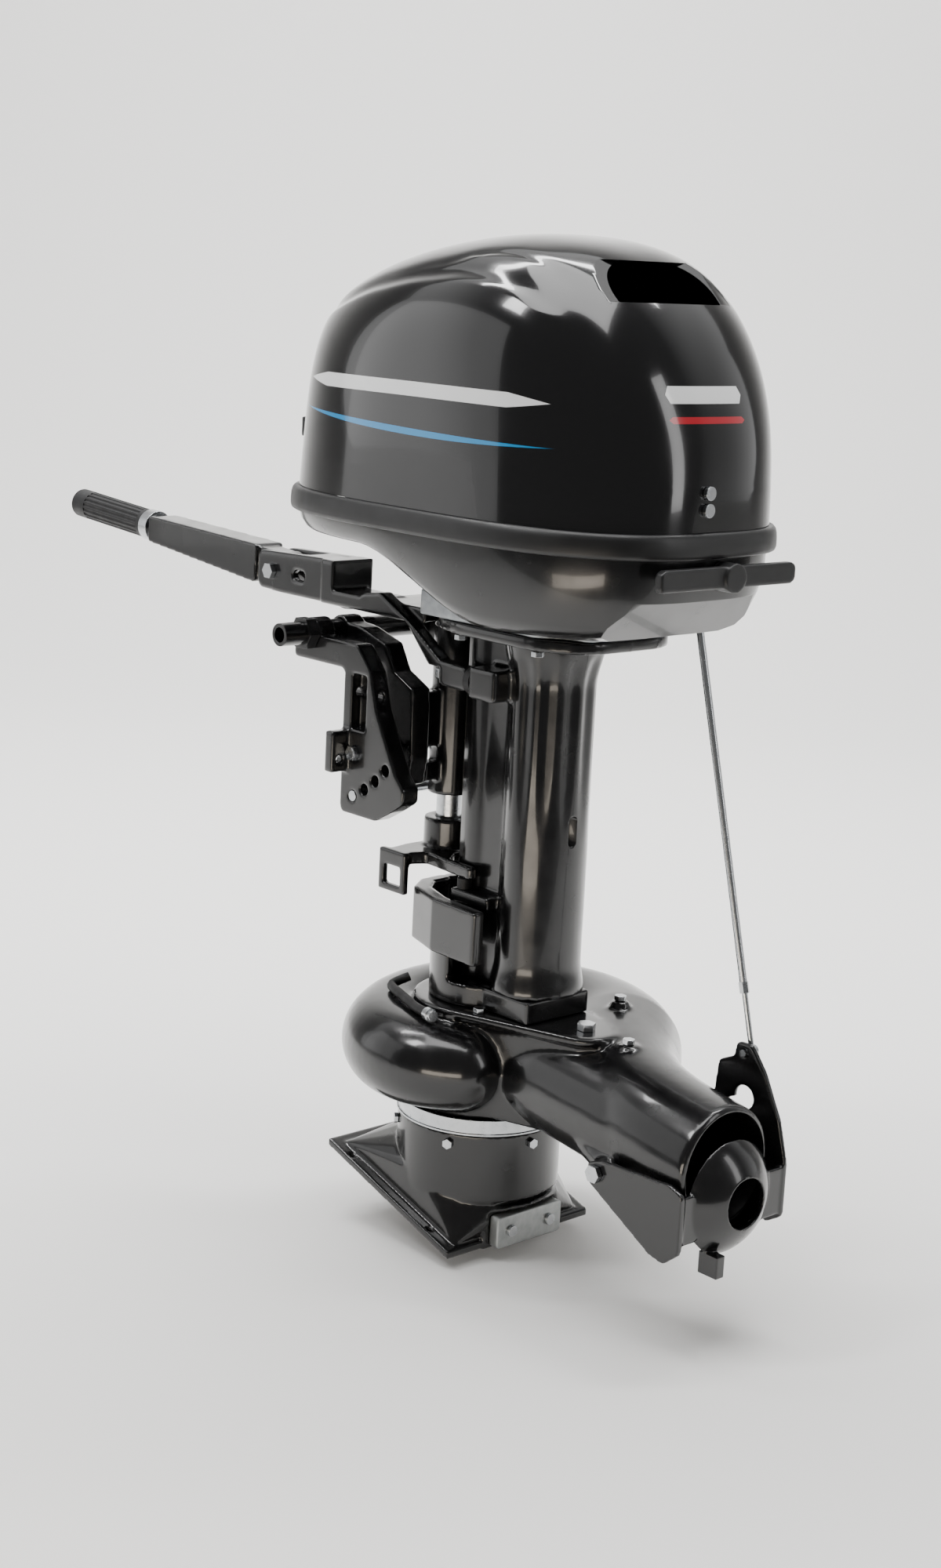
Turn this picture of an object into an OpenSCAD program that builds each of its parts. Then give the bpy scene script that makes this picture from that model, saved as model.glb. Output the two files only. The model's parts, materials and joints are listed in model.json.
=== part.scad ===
// Outboard motor with a jet pump: powerhead under a lift-off cowl, driveshaft
// housing, side-discharge volute pump, reverse gate, tiller and transom bracket.
// Frame: +X aft, +Y starboard, +Z up. The origin is midway between the two lower
// transom bolts, on the transom's aft face.

/* [Cowl] */
// Length of the cowl at its rim
cowl_len = 563; // [480:1:620]
// Width of the cowl at its rim
cowl_w = 360; // [320:1:400]
// Height of the cowl above the rim seal
cowl_h = 286; // [240:1:330]
// Height of the rim seal band
rim_h = 26; // [18:1:34]
// Wall of the cowl and of the lower cowl
cowl_wall = 4; // [3:0.5:6]
// Height of the cowl rim above the lower transom bolts
rim_z = 269; // [255:1:300]
// Depth of the lower cowl below the rim
pan_depth = 88; // [76:1:100]

/* [Transom bracket] */
// Height of the transom top above the lower transom bolts
transom_top = 99; // [90:1:110]
// Distance between the middles of the two clamp brackets
bracket_gap = 208; // [200:1:230]
// Thickness of one clamp bracket
bracket_t = 24; // [18:1:28]
// Outer diameter of the tilt tube
tilt_tube_d = 26; // [22:1:30]
// Length of the tilt tube
tilt_tube_len = 320; // [300:1:350]
// Radius of a transom bolt hole
bolt_r = 4.75; // [4:0.25:6]
// Distance from the lower to the upper transom bolts
bolt_rise = 74; // [64:1:80]

/* [Midsection] */
// Distance from the transom face back to the steering axis
swivel_x = 55; // [52:1:60]
// Distance from the steering axis back to the driveshaft
shaft_back = 76; // [72:1:86]
// Diameter of the steering shaft
steer_d = 30; // [24:1:34]
// Diameter of the driveshaft
drive_d = 16; // [12:1:20]
// Radius of the exhaust column of the driveshaft housing
column_r = 42; // [38:1:46]

/* [Tiller] */
// Length of the tiller arm from its pivot to the grip
tiller_len = 262; // [220:1:300]
// Length of the twist grip
grip_len = 178; // [150:1:200]
// Diameter of the twist grip
grip_d = 36; // [32:1:42]
// Upward slope of the tiller, in degrees
tiller_rise = 4; // [0:0.5:8]

/* [Jet pump] */
// Outer radius of the impeller housing
liner_r = 93; // [86:1:100]
// Outer radius of the outlet
outlet_r = 66; // [58:1:72]
// Distance from the driveshaft back to the outlet's end
outlet_back = 370; // [340:1:400]
// Width of the intake plate
intake_w = 216; // [196:1:236]
// Slope of the intake plate, in degrees
intake_pitch = 17.5; // [12:0.5:20]
// Number of intake grille bars
grille_bars = 7; // [5:1:9]

/* [Hidden] */
$fn = 48;

gap = 0.4;              // clearance between pieces that move past each other
running = 0.05;         // radial clearance of a shaft in its bore
shaft_x = swivel_x + shaft_back;
cowl_x = shaft_x + 22;  // middle of the cowl
cowl_z = rim_z + rim_h;
cowl_top = cowl_z + cowl_h;
pan_z = rim_z - pan_depth;
base_z = pan_z + 6;     // top of the driveshaft housing's flange
tilt_x = -62;
tilt_z = transom_top + 31; // axis of the tilt tube
arm_bottom = tilt_z + 24;   // underside of the steering arm
deck_z = rim_z - 528;   // top deck of the pump
volute_z = deck_z - 63;
seam_z = deck_z - 137;  // joint between the impeller liner and the intake casing
swivel_top = arm_bottom - 3;
swivel_low = -42;
bracket_y = bracket_gap / 2;
outlet_x = shaft_x + outlet_back;
outlet_z = volute_z - 28;
intake_front = -7;
intake_aft = 206;
intake_front_z = seam_z - 65;

// ---------- helpers ----------

// Corner i of a closed outline, rounded to radius r with n steps.
function corner(p, i, r, n = 6) =
    let (a = p[(i + len(p) - 1) % len(p)], b = p[i], c = p[(i + 1) % len(p)],
         u = (a - b) / norm(a - b), v = (c - b) / norm(c - b),
         half = acos(max(-1, min(1, u * v))) / 2,
         t = min(r / tan(half), norm(a - b) * 0.49, norm(c - b) * 0.49),
         rr = t * tan(half),
         m = b + (u + v) / norm(u + v) * (rr / sin(half)),
         s = b + u * t - m, e = b + v * t - m,
         a0 = atan2(s[1], s[0]), d = atan2(e[1], e[0]) - a0,
         turn = d > 180 ? d - 360 : d < -180 ? d + 360 : d)
    r <= 0 ? [b] : [for (k = [0 : n]) m + rr * [cos(a0 + turn * k / n), sin(a0 + turn * k / n)]];

// A closed outline with every corner rounded to r.
function rounded(p, r, n = 6) = [for (i = [0 : len(p) - 1]) each corner(p, i, r, n)];

// Draws an X-Z outline and gives it thickness t along Y, from y.
module side_plate(outline, y, t) {
    translate([0, y + t, 0]) rotate([90, 0, 0]) linear_extrude(t) polygon(outline);
}

// A round bar along Y, middle at [x, y, z].
module bar_y(r, l, at) {
    translate(at) rotate([90, 0, 0]) cylinder(r = r, h = l, center = true);
}

// A round bar along X, from x to x + l.
module bar_x(r, l, at) {
    translate(at) rotate([0, 90, 0]) cylinder(r = r, h = l);
}

// A hexagon head bolt along +Z: head on top of the origin plane, shank below.
module hex_bolt(d, l) {
    cylinder(d = d * 1.75, h = d * 0.65, $fn = 6);
    translate([0, 0, -l]) cylinder(d = d, h = l + 0.5);
}

// The convex solid around a list of points.
module around(points) {
    hull() polyhedron(points, [for (i = [0 : len(points) - 3]) [i, i + 1, i + 2]]);
}

// Points of a superellipse ring: half length a, half width b, power n, at height z.
function sgnpow(v, e) = sign(v) * pow(abs(v), e);
function ring(cx, a, b, n, z, steps = 40) =
    [for (i = [0 : steps - 1]) let (t = 360 * i / steps)
        [cx + a * sgnpow(cos(t), 2 / n), b * sgnpow(sin(t), 2 / n), z]];

// ---------- transom bracket ----------

hook_top = tilt_z - 2;
bracket_outline = rounded([
    [0, transom_top], [-90, transom_top], [-90, transom_top + 12], [-80, hook_top],
    [20, hook_top], [44, hook_top - 26], [56, 60], [92, -4], [106, -18], [106, -34],
    [88, -46], [60, -62], [0, -62]], 7);

module clamp_bracket(side) {
    y0 = side * bracket_y - bracket_t / 2;
    difference() {
        union() {
            side_plate(bracket_outline, y0, bracket_t);
            bar_y(17, bracket_t, [tilt_x, side * bracket_y, tilt_z]);
            // ear of the lower transom bolt
            translate([0, side > 0 ? bracket_y : -bracket_y - 36, -14]) cube([13, 36, 46]);
        }
        bar_y(tilt_tube_d / 2 + running, bracket_t + 60, [tilt_x, side * bracket_y, tilt_z]);
        // weight-saving pocket in the outer face, open behind the upper bolt
        translate([14, side > 0 ? bracket_y - 2 : -bracket_y - 30, 34]) cube([24, 32, 62]);
        // hole of the lower and the upper transom bolt
        bar_x(bolt_r, 40, [-1, side * (bracket_y + 24), 0]);
        bar_x(bolt_r, 80, [-1, side * bracket_y, bolt_rise]);
        bar_y(6 + running, bracket_t + 60, [stay_x, side * bracket_y, stay_z]);
        for (k = [0 : 3]) bar_y(6 + gap, bracket_t + 60, [trim_at(k)[0], side * bracket_y, trim_at(k)[1]]);
    }
}

// Middle of trim hole k, on an arc around the tilt tube.
stay_x = 22;
stay_z = 8;
function trim_at(k) = let (a = -64 + 6.6 * k, r = 190)
    [tilt_x + r * cos(a), tilt_z + r * sin(a)];

module clamp_bracket_port() { color("#1b1d1f") clamp_bracket(-1); }

module clamp_bracket_starboard() { color("#1b1d1f") clamp_bracket(1); }

module tilt_tube() {
    color("#16181a") difference() {
        bar_y(tilt_tube_d / 2, tilt_tube_len, [tilt_x, 0, tilt_z]);
        bar_y(tilt_tube_d / 2 - 4.5, tilt_tube_len + 2, [tilt_x, 0, tilt_z]);
    }
}

module tilt_tube_nuts() {
    color("#16181a") for (s = [-1, 1]) difference() {
        bar_y(19, 14, [tilt_x, s * (bracket_y + bracket_t / 2 + 7.5), tilt_z], $fn = 6);
        bar_y(tilt_tube_d / 2 + 0.02, 20, [tilt_x, s * (bracket_y + bracket_t / 2 + 7.5), tilt_z]);
    }
}

module bracket_stay() {
    color("#c9ccd0") {
        bar_y(6, bracket_gap + bracket_t + 12, [stay_x, 0, stay_z]);
        for (s = [-1, 1]) bar_y(8.6, 5.6, [stay_x, s * (bracket_y + bracket_t / 2 + 3), stay_z], $fn = 6);
    }
}

module trim_pin() {
    at = trim_at(0);
    color("#b9bcc0") {
        bar_y(6, bracket_gap + bracket_t + 8, [at[0], 4, at[1]]);
        bar_y(9, 5, [at[0], bracket_y + bracket_t / 2 + 6, at[1]]);
    }
}

// ---------- swivel bracket ----------

swivel_r = steer_d / 2 + 11;
arm_in = 48;    // the swivel bracket's arms run between these distances from the middle
arm_out = 74;

module swivel_bracket() {
    arm = rounded([[tilt_x - 12, tilt_z - 12], [tilt_x - 4, tilt_z + 12], [-24, tilt_z + 8],
        [18, tilt_z - 4], [34, 98], [68, 82], [70, 6], [64, -26], [42, -30], [34, 20], [19, 76],
        [3, transom_top + 4], [-40, transom_top + 8]], 6);
    color("#141618") difference() {
        union() {
            translate([swivel_x, 0, swivel_low]) cylinder(r = swivel_r, h = swivel_top - swivel_low);
            for (s = [-1, 1]) {
                side_plate(arm, s > 0 ? arm_in : -arm_out, arm_out - arm_in);
                bar_y(17, arm_out - arm_in, [tilt_x, s * (arm_in + arm_out) / 2, tilt_z]);
            }
            // cross webs between the arms
            translate([swivel_x - 16, -arm_in - 4, 14]) cube([22, 2 * arm_in + 8, 62]);
            translate([swivel_x - 12, -arm_in - 4, -24]) cube([20, 2 * arm_in + 8, 20]);
        }
        bar_y(tilt_tube_d / 2 + running, 2 * arm_out + 10, [tilt_x, 0, tilt_z]);
        translate([swivel_x, 0, swivel_low - 1]) cylinder(r = steer_d / 2 + 4, h = 260);
    }
}

module swivel_bushes() {
    color("#d8d4c8") for (z = [swivel_low, swivel_top - 30]) difference() {
        translate([swivel_x, 0, z]) cylinder(r = steer_d / 2 + 4, h = 30);
        translate([swivel_x, 0, z - 1]) cylinder(r = steer_d / 2 + running, h = 32);
    }
}

module friction_lever() {
    x = tilt_x - 30;
    z = arm_bottom - 10;
    color("#17191b") {
        translate([x, tiller_y, z + 3.6]) cylinder(r = 9, h = 6.1);
        translate([x - 44, tiller_y - 8, z + 4.6]) cube([40, 16, 5]);
    }
}

// ---------- steering arm and tiller ----------

tiller_y = -36;
pivot_x = -205;
pivot_z = arm_bottom + 24;
ear_t = 11;
root_t = 30;    // width of the tiller's root between the ears
band_in = 48;   // the arm's rear band runs between these distances to port
band_out = 66;

module steering_shaft() {
    color("#8e9296") {
        translate([swivel_x, 0, yoke_z - 4]) cylinder(d = steer_d, h = arm_bottom - yoke_z + 11.9);
    }
}

module steering_arm() {
    band = rounded([[-40, arm_bottom], [-40, arm_bottom + 20], [-4, arm_bottom + 26],
        [54, arm_bottom - 4], [100, arm_bottom - 34], [144, arm_bottom - 36], [144, arm_bottom - 62],
        [104, arm_bottom - 62], [84, arm_bottom - 46], [40, arm_bottom]], 7);
    ear = rounded([[-232, pivot_z - 22], [-232, pivot_z + 22], [-120, pivot_z + 26], [-90, pivot_z + 26],
        [-90, arm_bottom], [-190, arm_bottom]], 9);
    color("#1c1e20") difference() {
        union() {
            for (s = [-1, 1]) side_plate(band, s > 0 ? band_in : -band_out, band_out - band_in);
            // hub on the steering shaft, cross beam and the root of the two ears
            translate([swivel_x, 0, arm_bottom]) cylinder(r = 28, h = 20);
            translate([-36, -band_in - 2, arm_bottom]) cube([swivel_x + 36, 2 * band_in + 4, 15]);
            translate([-110, -band_out, arm_bottom]) cube([90, 52, 17]);
            translate([-110, -band_out, arm_bottom]) cube([22, 60, 50]);
            for (s = [-1, 1])
                side_plate(ear, tiller_y + (s > 0 ? root_t / 2 + gap : -root_t / 2 - gap - ear_t), ear_t);
            translate([-150, tiller_y - root_t / 2 - ear_t, pivot_z + 18])
                cube([60, root_t + 2 * ear_t, 7]);
        }
        bar_y(6 + running, 90, [pivot_x, tiller_y, pivot_z]);
        // long hole of the tiller's stop
        for (x = [-160, -150]) bar_y(6, 80, [x, tiller_y, pivot_z]);
        translate([-160, tiller_y - 40, pivot_z - 6]) cube([10, 80, 12]);
        translate([swivel_x, 0, arm_bottom - 1]) cylinder(d = steer_d, h = 9);
        for (s = [-1, 1]) {
            bar_x(5.6, 60, [99, s * 57, arm_bottom - 49]);
            bar_x(10.5, 24, [76, s * 57, arm_bottom - 49]);
        }
    }
}

module tiller_frame() {
    translate([pivot_x, tiller_y, pivot_z]) rotate([0, tiller_rise - 90, 0]) children();
}

module tiller_arm() {
    color("#242628") {
        difference() {
            union() {
                // root between the ears
                bar_y(21, root_t, [pivot_x, tiller_y, pivot_z]);
                tiller_frame() translate([-18, -root_t / 2, 0]) cube([38, root_t, 66]);
                // tapered channel of the arm
                tiller_frame() translate([0, 0, 40]) side_taper();
                tiller_frame() translate([0, 0, tiller_len - 6]) cylinder(d = 30, h = 12);
            }
            bar_y(6 + running, 90, [pivot_x, tiller_y, pivot_z]);
        }
        tiller_frame() translate([0, 0, tiller_len]) cylinder(d = 18, h = grip_len - 12);
    }
}

// The arm's body: deep at the root and slim at the grip.
module side_taper() {
    l = tiller_len - 40;
    rotate([90, 0, 0]) translate([0, 0, -20]) linear_extrude(40)
        polygon(rounded([[-23, 0], [-16, l], [16, l], [23, 0]], 5));
}

module tiller_pivot() {
    color("#b8bbbf") {
        bar_y(6, root_t + 2 * ear_t + 8, [pivot_x, tiller_y, pivot_z]);
        for (s = [-1, 1])
            bar_y(9.5, 7, [pivot_x, tiller_y + s * (root_t / 2 + ear_t + gap + 3.6), pivot_z], $fn = 6);
    }
}

module throttle_grip() {
    ribs = 18;
    color("#131416") tiller_frame() translate([0, 0, tiller_len + 24]) difference() {
        cylinder(d = grip_d, h = grip_len - 26);
        translate([0, 0, -1]) cylinder(d = 18 + 2 * running, h = grip_len - 35 + gap);
        for (i = [0 : ribs - 1]) rotate(360 * i / ribs)
            translate([grip_d / 2 + 1, 0, 8]) cylinder(r = 2.4, h = grip_len - 60);
    }
}

module grip_collar() {
    color("#c4c7ca") tiller_frame() translate([0, 0, tiller_len + 7]) difference() {
        cylinder(d = grip_d + 3, h = 16);
        translate([0, 0, -1]) cylinder(d = 18 + 2 * running, h = 20);
    }
}

// ---------- midsection ----------

yoke_z = -104;

module lower_yoke() {
    plate = rounded([[24, -34], [24, 34], [70, 44], [150, 52], [150, 40], [104, 40], [88, 20], [88, -20],
        [104, -40], [150, -40], [150, -52], [70, -44], [60, -66], [30, -66]], 5);
    color("#1a1c1e") difference() {
        union() {
            translate([0, 0, yoke_z - 14]) linear_extrude(14) polygon(plate);
            translate([swivel_x, 0, yoke_z - 14]) cylinder(r = 28, h = 48);
            // loop that catches the reverse lock
            translate([20, -72, yoke_z - 48]) difference() {
                cube([44, 8, 48]);
                translate([8, -1, 8]) cube([28, 10, 22]);
            }
            translate([34, -72, yoke_z - 14]) cube([20, 14, 14]);
        }
        translate([swivel_x, 0, yoke_z - 20]) cylinder(d = steer_d, h = 100);
    }
}

module lower_mount_covers() {
    z0 = yoke_z - 96;
    color("#1d1f21") for (s = [-1, 1]) translate([0, 0, z0]) linear_extrude(60)
        polygon([for (p = rounded([[48, 0.2], [50, 34], [70, 62], [122, 80], [196, 84], [196, 68],
            [126, 62], [84, 46], [66, 26], [64, 0.2]], 4)) [p[0], s * p[1]]]);
}

module mount_rubbers() {
    color("#0e0f10") for (s = [-1, 1]) {
        // upper mounts, between the steering arm and the driveshaft housing
        bar_x(15, 9.6, [144.2, s * 57, arm_bottom - 49]);
        // lower mounts, between the yoke and the extension's front web
        translate([136, s * 46, yoke_z - 26]) cylinder(r = 8, h = 11.8);
    }
}

module mount_bolts() {
    color("#b8bbbf") {
        for (s = [-1, 1]) {
            // lower mount bolts, heads on the cover's nose
            translate([48.6, s * 20, yoke_z - 60]) rotate([0, -90, 0]) hex_bolt(8, 0);
            // upper mount bolts on the steering arm's rear ends
            translate([99.8, s * 57, arm_bottom - 49]) rotate([0, -90, 0]) hex_bolt(11, 40);
        }
        // bolts under the housing's flange
        for (x = [150, 268]) for (s = [-1, 1])
            translate([x, s * 82, housing_top - 14.2]) mirror([0, 0, 1]) hex_bolt(8, 0);
    }
}

column_x = shaft_x + 81;
housing_low = deck_z + 26;
housing_top = base_z - 16;

module driveshaft_housing() {
    flange = rounded([[88, -58], [88, 58], [132, 96], [300, 96], [322, 60], [322, -60], [300, -96],
        [132, -96]], 16);
    color("#1b1d1f") difference() {
        union() {
            for (s = [-1, 1]) translate([column_x, s * 8, housing_low])
                cylinder(r = column_r, h = housing_top - housing_low);
            translate([column_x - 4, -8 - column_r, housing_low])
                cube([8, 16 + 2 * column_r, housing_top - housing_low]);
            translate([column_x, -8, housing_low]) cube([column_r, 16, housing_top - housing_low]);
            translate([shaft_x - 20, -34, housing_low])
                cube([column_x - shaft_x + 20, 68, housing_top - housing_low]);
            translate([shaft_x, 0, housing_low]) cylinder(r = 38, h = housing_top - housing_low);
            translate([0, 0, housing_top - 14]) linear_extrude(14) polygon(flange);
            // blocks that carry the upper and the lower mounts
            translate([154, -72, arm_bottom - 66]) cube([40, 144, 34]);
            translate([124, -56, yoke_z - 40]) cube([60, 112, 14]);
        }
        translate([column_x + 2, 0, housing_low - 1]) cylinder(r = column_r - 8, h = 600);
        translate([shaft_x, 0, housing_low - 1]) cylinder(r = drive_d / 2 + 9, h = 600);
        // idle exhaust slot in the column's flank
        translate([column_x, 0, -64]) rotate(-14) translate([30, -6, 0]) cube([40, 12, 34]);
    }
}

module exhaust_tube() {
    color("#5c5f63") translate([column_x + 2, 0, housing_low + 60]) difference() {
        cylinder(r = column_r - 14, h = housing_top - housing_low - 62);
        translate([0, 0, -1]) cylinder(r = column_r - 18, h = 600);
    }
}

module pump_neck() {
    color("#1b1d1f") difference() {
        union() {
            translate([shaft_x, 0, deck_z]) cylinder(r = 65, h = 25.7);
            translate([shaft_x, -47, deck_z]) cube([column_x - shaft_x + 34, 94, 25.7]);
            translate([shaft_x, 0, deck_z + 25]) difference() {
                cylinder(r = 65, h = 32);
                translate([0, 0, -1]) cylinder(r = 55, h = 40);
                translate([4, -70, -1]) cube([80, 140, 40]);
            }
        }
        translate([shaft_x, 0, deck_z - 1]) cylinder(r = drive_d / 2 + 9, h = 100);
        translate([column_x + 2, 0, deck_z - 1]) cylinder(r = 24, h = 100);
    }
}

// ---------- jet pump ----------

// The scroll winds clockwise, seen from above, from port-aft round the front to starboard.
function scroll_r(t) = 47 + 24 * t;
function scroll_at(t) = let (a = 300 - 253 * t, r = 86 + 68 * t)
    [shaft_x + r * cos(a), r * sin(a), volute_z];
scroll_steps = 15;
// The outlet's middle line runs on from the scroll's end to the outlet.
function outlet_at(t) = let (p = scroll_at(1), q = [outlet_x, 0, outlet_z],
    c = [p[0] + 92, 10, volute_z - 6], e = [p[0] + 132, 0, outlet_z + 14])
    pow(1 - t, 3) * p + 3 * t * pow(1 - t, 2) * c + 3 * t * t * (1 - t) * e + t * t * t * q;
outlet_steps = 6;
wall = 6;

module scroll_path(shrink) {
    for (k = [0 : scroll_steps - 1]) hull() {
        translate(scroll_at(k / scroll_steps)) sphere(r = scroll_r(k / scroll_steps) - shrink, $fn = 22);
        translate(scroll_at((k + 1) / scroll_steps)) sphere(r = scroll_r((k + 1) / scroll_steps)
            - shrink, $fn = 22);
    }
    for (k = [0 : outlet_steps - 1]) hull() {
        outlet_disc(k / outlet_steps, shrink);
        outlet_disc((k + 1) / outlet_steps, shrink);
    }
}

module outlet_disc(t, shrink) {
    r = (scroll_r(1) * (1 - t) + outlet_r * t) - shrink;
    at = outlet_at(t);
    if (t < 0.6) translate(at) sphere(r = r, $fn = 22);
    else translate(at) rotate([0, 90, 0]) cylinder(r = r, h = shrink > 0 ? 4 : 1, $fn = 32);
}

module jet_casing() {
    color("#17191b") difference() {
        union() {
            scroll_path(0);
            // the teardrop hub under the deck
            hull() {
                translate([shaft_x, 0, volute_z - 54]) cylinder(r = 75, h = 117, $fn = 32);
                translate([shaft_x + 160, 0, volute_z - 20]) cylinder(r = 26, h = 83, $fn = 24);
            }
            hull() {
                translate([shaft_x + 120, 0, volute_z - 6]) sphere(r = 56, $fn = 24);
                translate([outlet_x - 1, 0, outlet_z]) rotate([0, 90, 0])
                    cylinder(r = outlet_r, h = 1, $fn = 32);
            }
            translate([shaft_x, 0, seam_z + 18]) cylinder(r = liner_r - 2, h = 60, $fn = 40);
            // ears of the gate's pivot bolts
            for (y = [-cheek_port, cheek_star]) hull() {
                bar_y(13, 19, [gate_x, y - sign(y) * 10, gate_z], $fn = 20);
                translate([gate_x - 80, sign(y) * 34, volute_z - 20]) sphere(r = 14, $fn = 16);
            }
            // bolt lugs on the crown of the pipe
            for (p = lugs) translate([p[0], p[1], p[2] - 40]) cylinder(r = 11, h = 40, $fn = 24);
        }
        scroll_path(wall);
        translate([shaft_x, 0, seam_z + 17]) cylinder(r = liner_r - 12, h = 60, $fn = 40);
        translate([shaft_x, 0, volute_z - 1]) cylinder(r = bearing_r + 0.1, h = 70);
        for (y = [-cheek_port, cheek_star]) bar_y(6 + running, 34, [gate_x, y - sign(y) * 2, gate_z]);
    }
}

bearing_r = 34;
lugs = [[265, 78, volute_z + 76], [346, 9, volute_z + 61]];

module pump_bearing() {
    color("#7d8185") difference() {
        translate([shaft_x, 0, volute_z + 22]) cylinder(r = bearing_r, h = 40.6);
        translate([shaft_x, 0, volute_z + 20]) cylinder(r = drive_d / 2 + running, h = 60);
    }
}

module impeller_liner() {
    z0 = seam_z;
    color("#c8cbce") difference() {
        union() {
            translate([shaft_x, 0, z0 + 2.4]) cylinder(r = liner_r, h = 15.4);
            translate([shaft_x, 0, z0]) cylinder(r = liner_r + 1.5, h = 2.4);
        }
        translate([shaft_x, 0, z0 - 1]) cylinder(r = liner_r - 12, h = 60);
    }
}

intake_len = intake_aft - intake_front;

// The water's way from the grille up to the impeller, drawn inwards by inset.
module throat(inset) {
    w = intake_w / 2 - 30 - inset;
    around(concat(
        [for (x = [intake_front + 22 + inset, intake_aft - 40 - inset]) for (y = [-w, w])
            [x, y, intake_under(x) - 2]],
        [for (i = [0 : 23]) [shaft_x + (liner_r - 14 - inset) * cos(15 * i),
            (liner_r - 14 - inset) * sin(15 * i), seam_z - 54]]));
}

// Height of the intake plate's underside at x.
function intake_under(x) = intake_front_z - (x - intake_front) * tan(intake_pitch);

module intake_casing() {
    t = 9;
    w = intake_w / 2;
    color("#1b1d1f") difference() {
        union() {
            translate([shaft_x, 0, seam_z - 78]) cylinder(r = liner_r, h = 78, $fn = 48);
            // rim of the plate
            around([for (x = [intake_front, intake_aft]) for (y = [-w, w]) for (z = [0, t])
                [x, y, intake_under(x) + z]]);
            // tent from the plate up to the housing
            around(concat(
                [for (x = [intake_front + 14, intake_aft - 6]) for (y = [-w + 14, w - 14])
                    [x, y, intake_under(x) + t]],
                [for (i = [0 : 23]) [shaft_x + (liner_r - 2) * cos(15 * i), (liner_r - 2) * sin(15 * i),
                    seam_z - 58 - 28 * cos(15 * i)]]));
            // pad of the anode on the rear face
            around([for (x = [intake_aft - 30, intake_aft + 2]) for (y = [-56, 56]) for (z = [0, 46])
                [x, y, intake_under(intake_aft) - 1 + z]]);
        }
        throat(0);
        // flat seat of the anode
        side_block(intake_aft + 2, 40, 104, 41, anode_z, 4);
        translate([shaft_x, 0, seam_z - 60]) cylinder(r = liner_r - 12, h = 80, $fn = 48);
        for (s = [-1, 1]) for (x = [intake_front + 36, intake_aft - 40])
            translate([x, s * (w - 7), intake_under(x) - 20]) cylinder(r = 3, h = 60, $fn = 16);
    }
}

module intake_grille() {
    w = intake_w / 2 - 31;
    step = 2 * w / (grille_bars + 1);
    color("#232527") intersection() {
        union() {
            for (i = [1 : grille_bars]) translate([intake_front - 20, -w + i * step - 2.5,
                intake_under(intake_front) - 100])
                cube([intake_len + 20, 5, 120]);
            for (x = [60, 120]) translate([x, -w - 0.6, intake_under(x) - 30]) cube([7, 2 * w + 1.2, 50]);
        }
        throat(0.6);
        around([for (x = [intake_front + 23, intake_aft - 41]) for (y = [-w + 1, w - 1]) for (z = [1, 11])
            [x, y, intake_under(x) + z]]);
    }
}

anode_z = intake_under(intake_aft) + 21;

module anode() {
    color("#c3c6c6") difference() {
        side_block(intake_aft + 2.2, 14, 98, 37, anode_z, 5);
        for (s = [-1, 1]) bar_x(3.2, 40, [intake_aft - 10, s * 29, anode_z]);
    }
}

// A block with rounded corners on a face whose normal is +X.
module side_block(x, t, w, h, z, r) {
    translate([x, 0, z]) rotate([90, 0, 90]) linear_extrude(t)
        polygon(rounded([[-w / 2, -h / 2], [w / 2, -h / 2], [w / 2, h / 2], [-w / 2, h / 2]], r));
}

module anode_screws() {
    color("#aeb1b4") for (s = [-1, 1]) {
        bar_x(3, 14.4, [intake_aft + 2.6, s * 29, anode_z]);
        bar_x(6.5, 4, [intake_aft + 16.5, s * 29, anode_z]);
    }
}

module pump_bolts() {
    color("#b9bcc0") {
        translate([shaft_x + 160, 0, deck_z + 0.2]) hex_bolt(12, 0);
        for (s = [-1, 1]) translate([shaft_x + 50, s * 56, deck_z + 0.2]) hex_bolt(8, 0);
        for (p = lugs) translate([p[0], p[1], p[2] + 0.2]) hex_bolt(8, 0);
    }
}

module liner_bolts() {
    color("#b9bcc0") for (i = [0 : 5])
        rotate_about(-4 + 60 * i) translate([liner_r + 0.2, 0, seam_z - 12]) rotate([0, 90, 0])
            hex_bolt(7, 0);
}

module rotate_about(a) {
    translate([shaft_x, 0, 0]) rotate(a) children();
}

// Middle line of the grease hose, from the deck down to the scroll's nipple.
hose_d = 11;
hose_points = [[deck_x(-79), -46, deck_z + 6], [deck_x(-87), -64, deck_z - 2], [deck_x(-70), -74, deck_z - 3],
    [deck_x(-46), -80, deck_z - 5], [deck_x(-18), -89, deck_z - 6.4], [deck_x(9), -96, deck_z - 5]];
function deck_x(d) = shaft_x + d;

// Point at u along a smooth curve through list p.
function spline(p, u) = let (n = len(p) - 1, i = min(n - 1, floor(u * n)), f = u * n - i,
    a = p[max(0, i - 1)], b = p[i], c = p[i + 1], d = p[min(n, i + 2)])
    0.5 * ((2 * b) + (c - a) * f + (2 * a - 5 * b + 4 * c - d) * f * f + (3 * b - a - 3 * c + d) * f * f * f);

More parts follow.
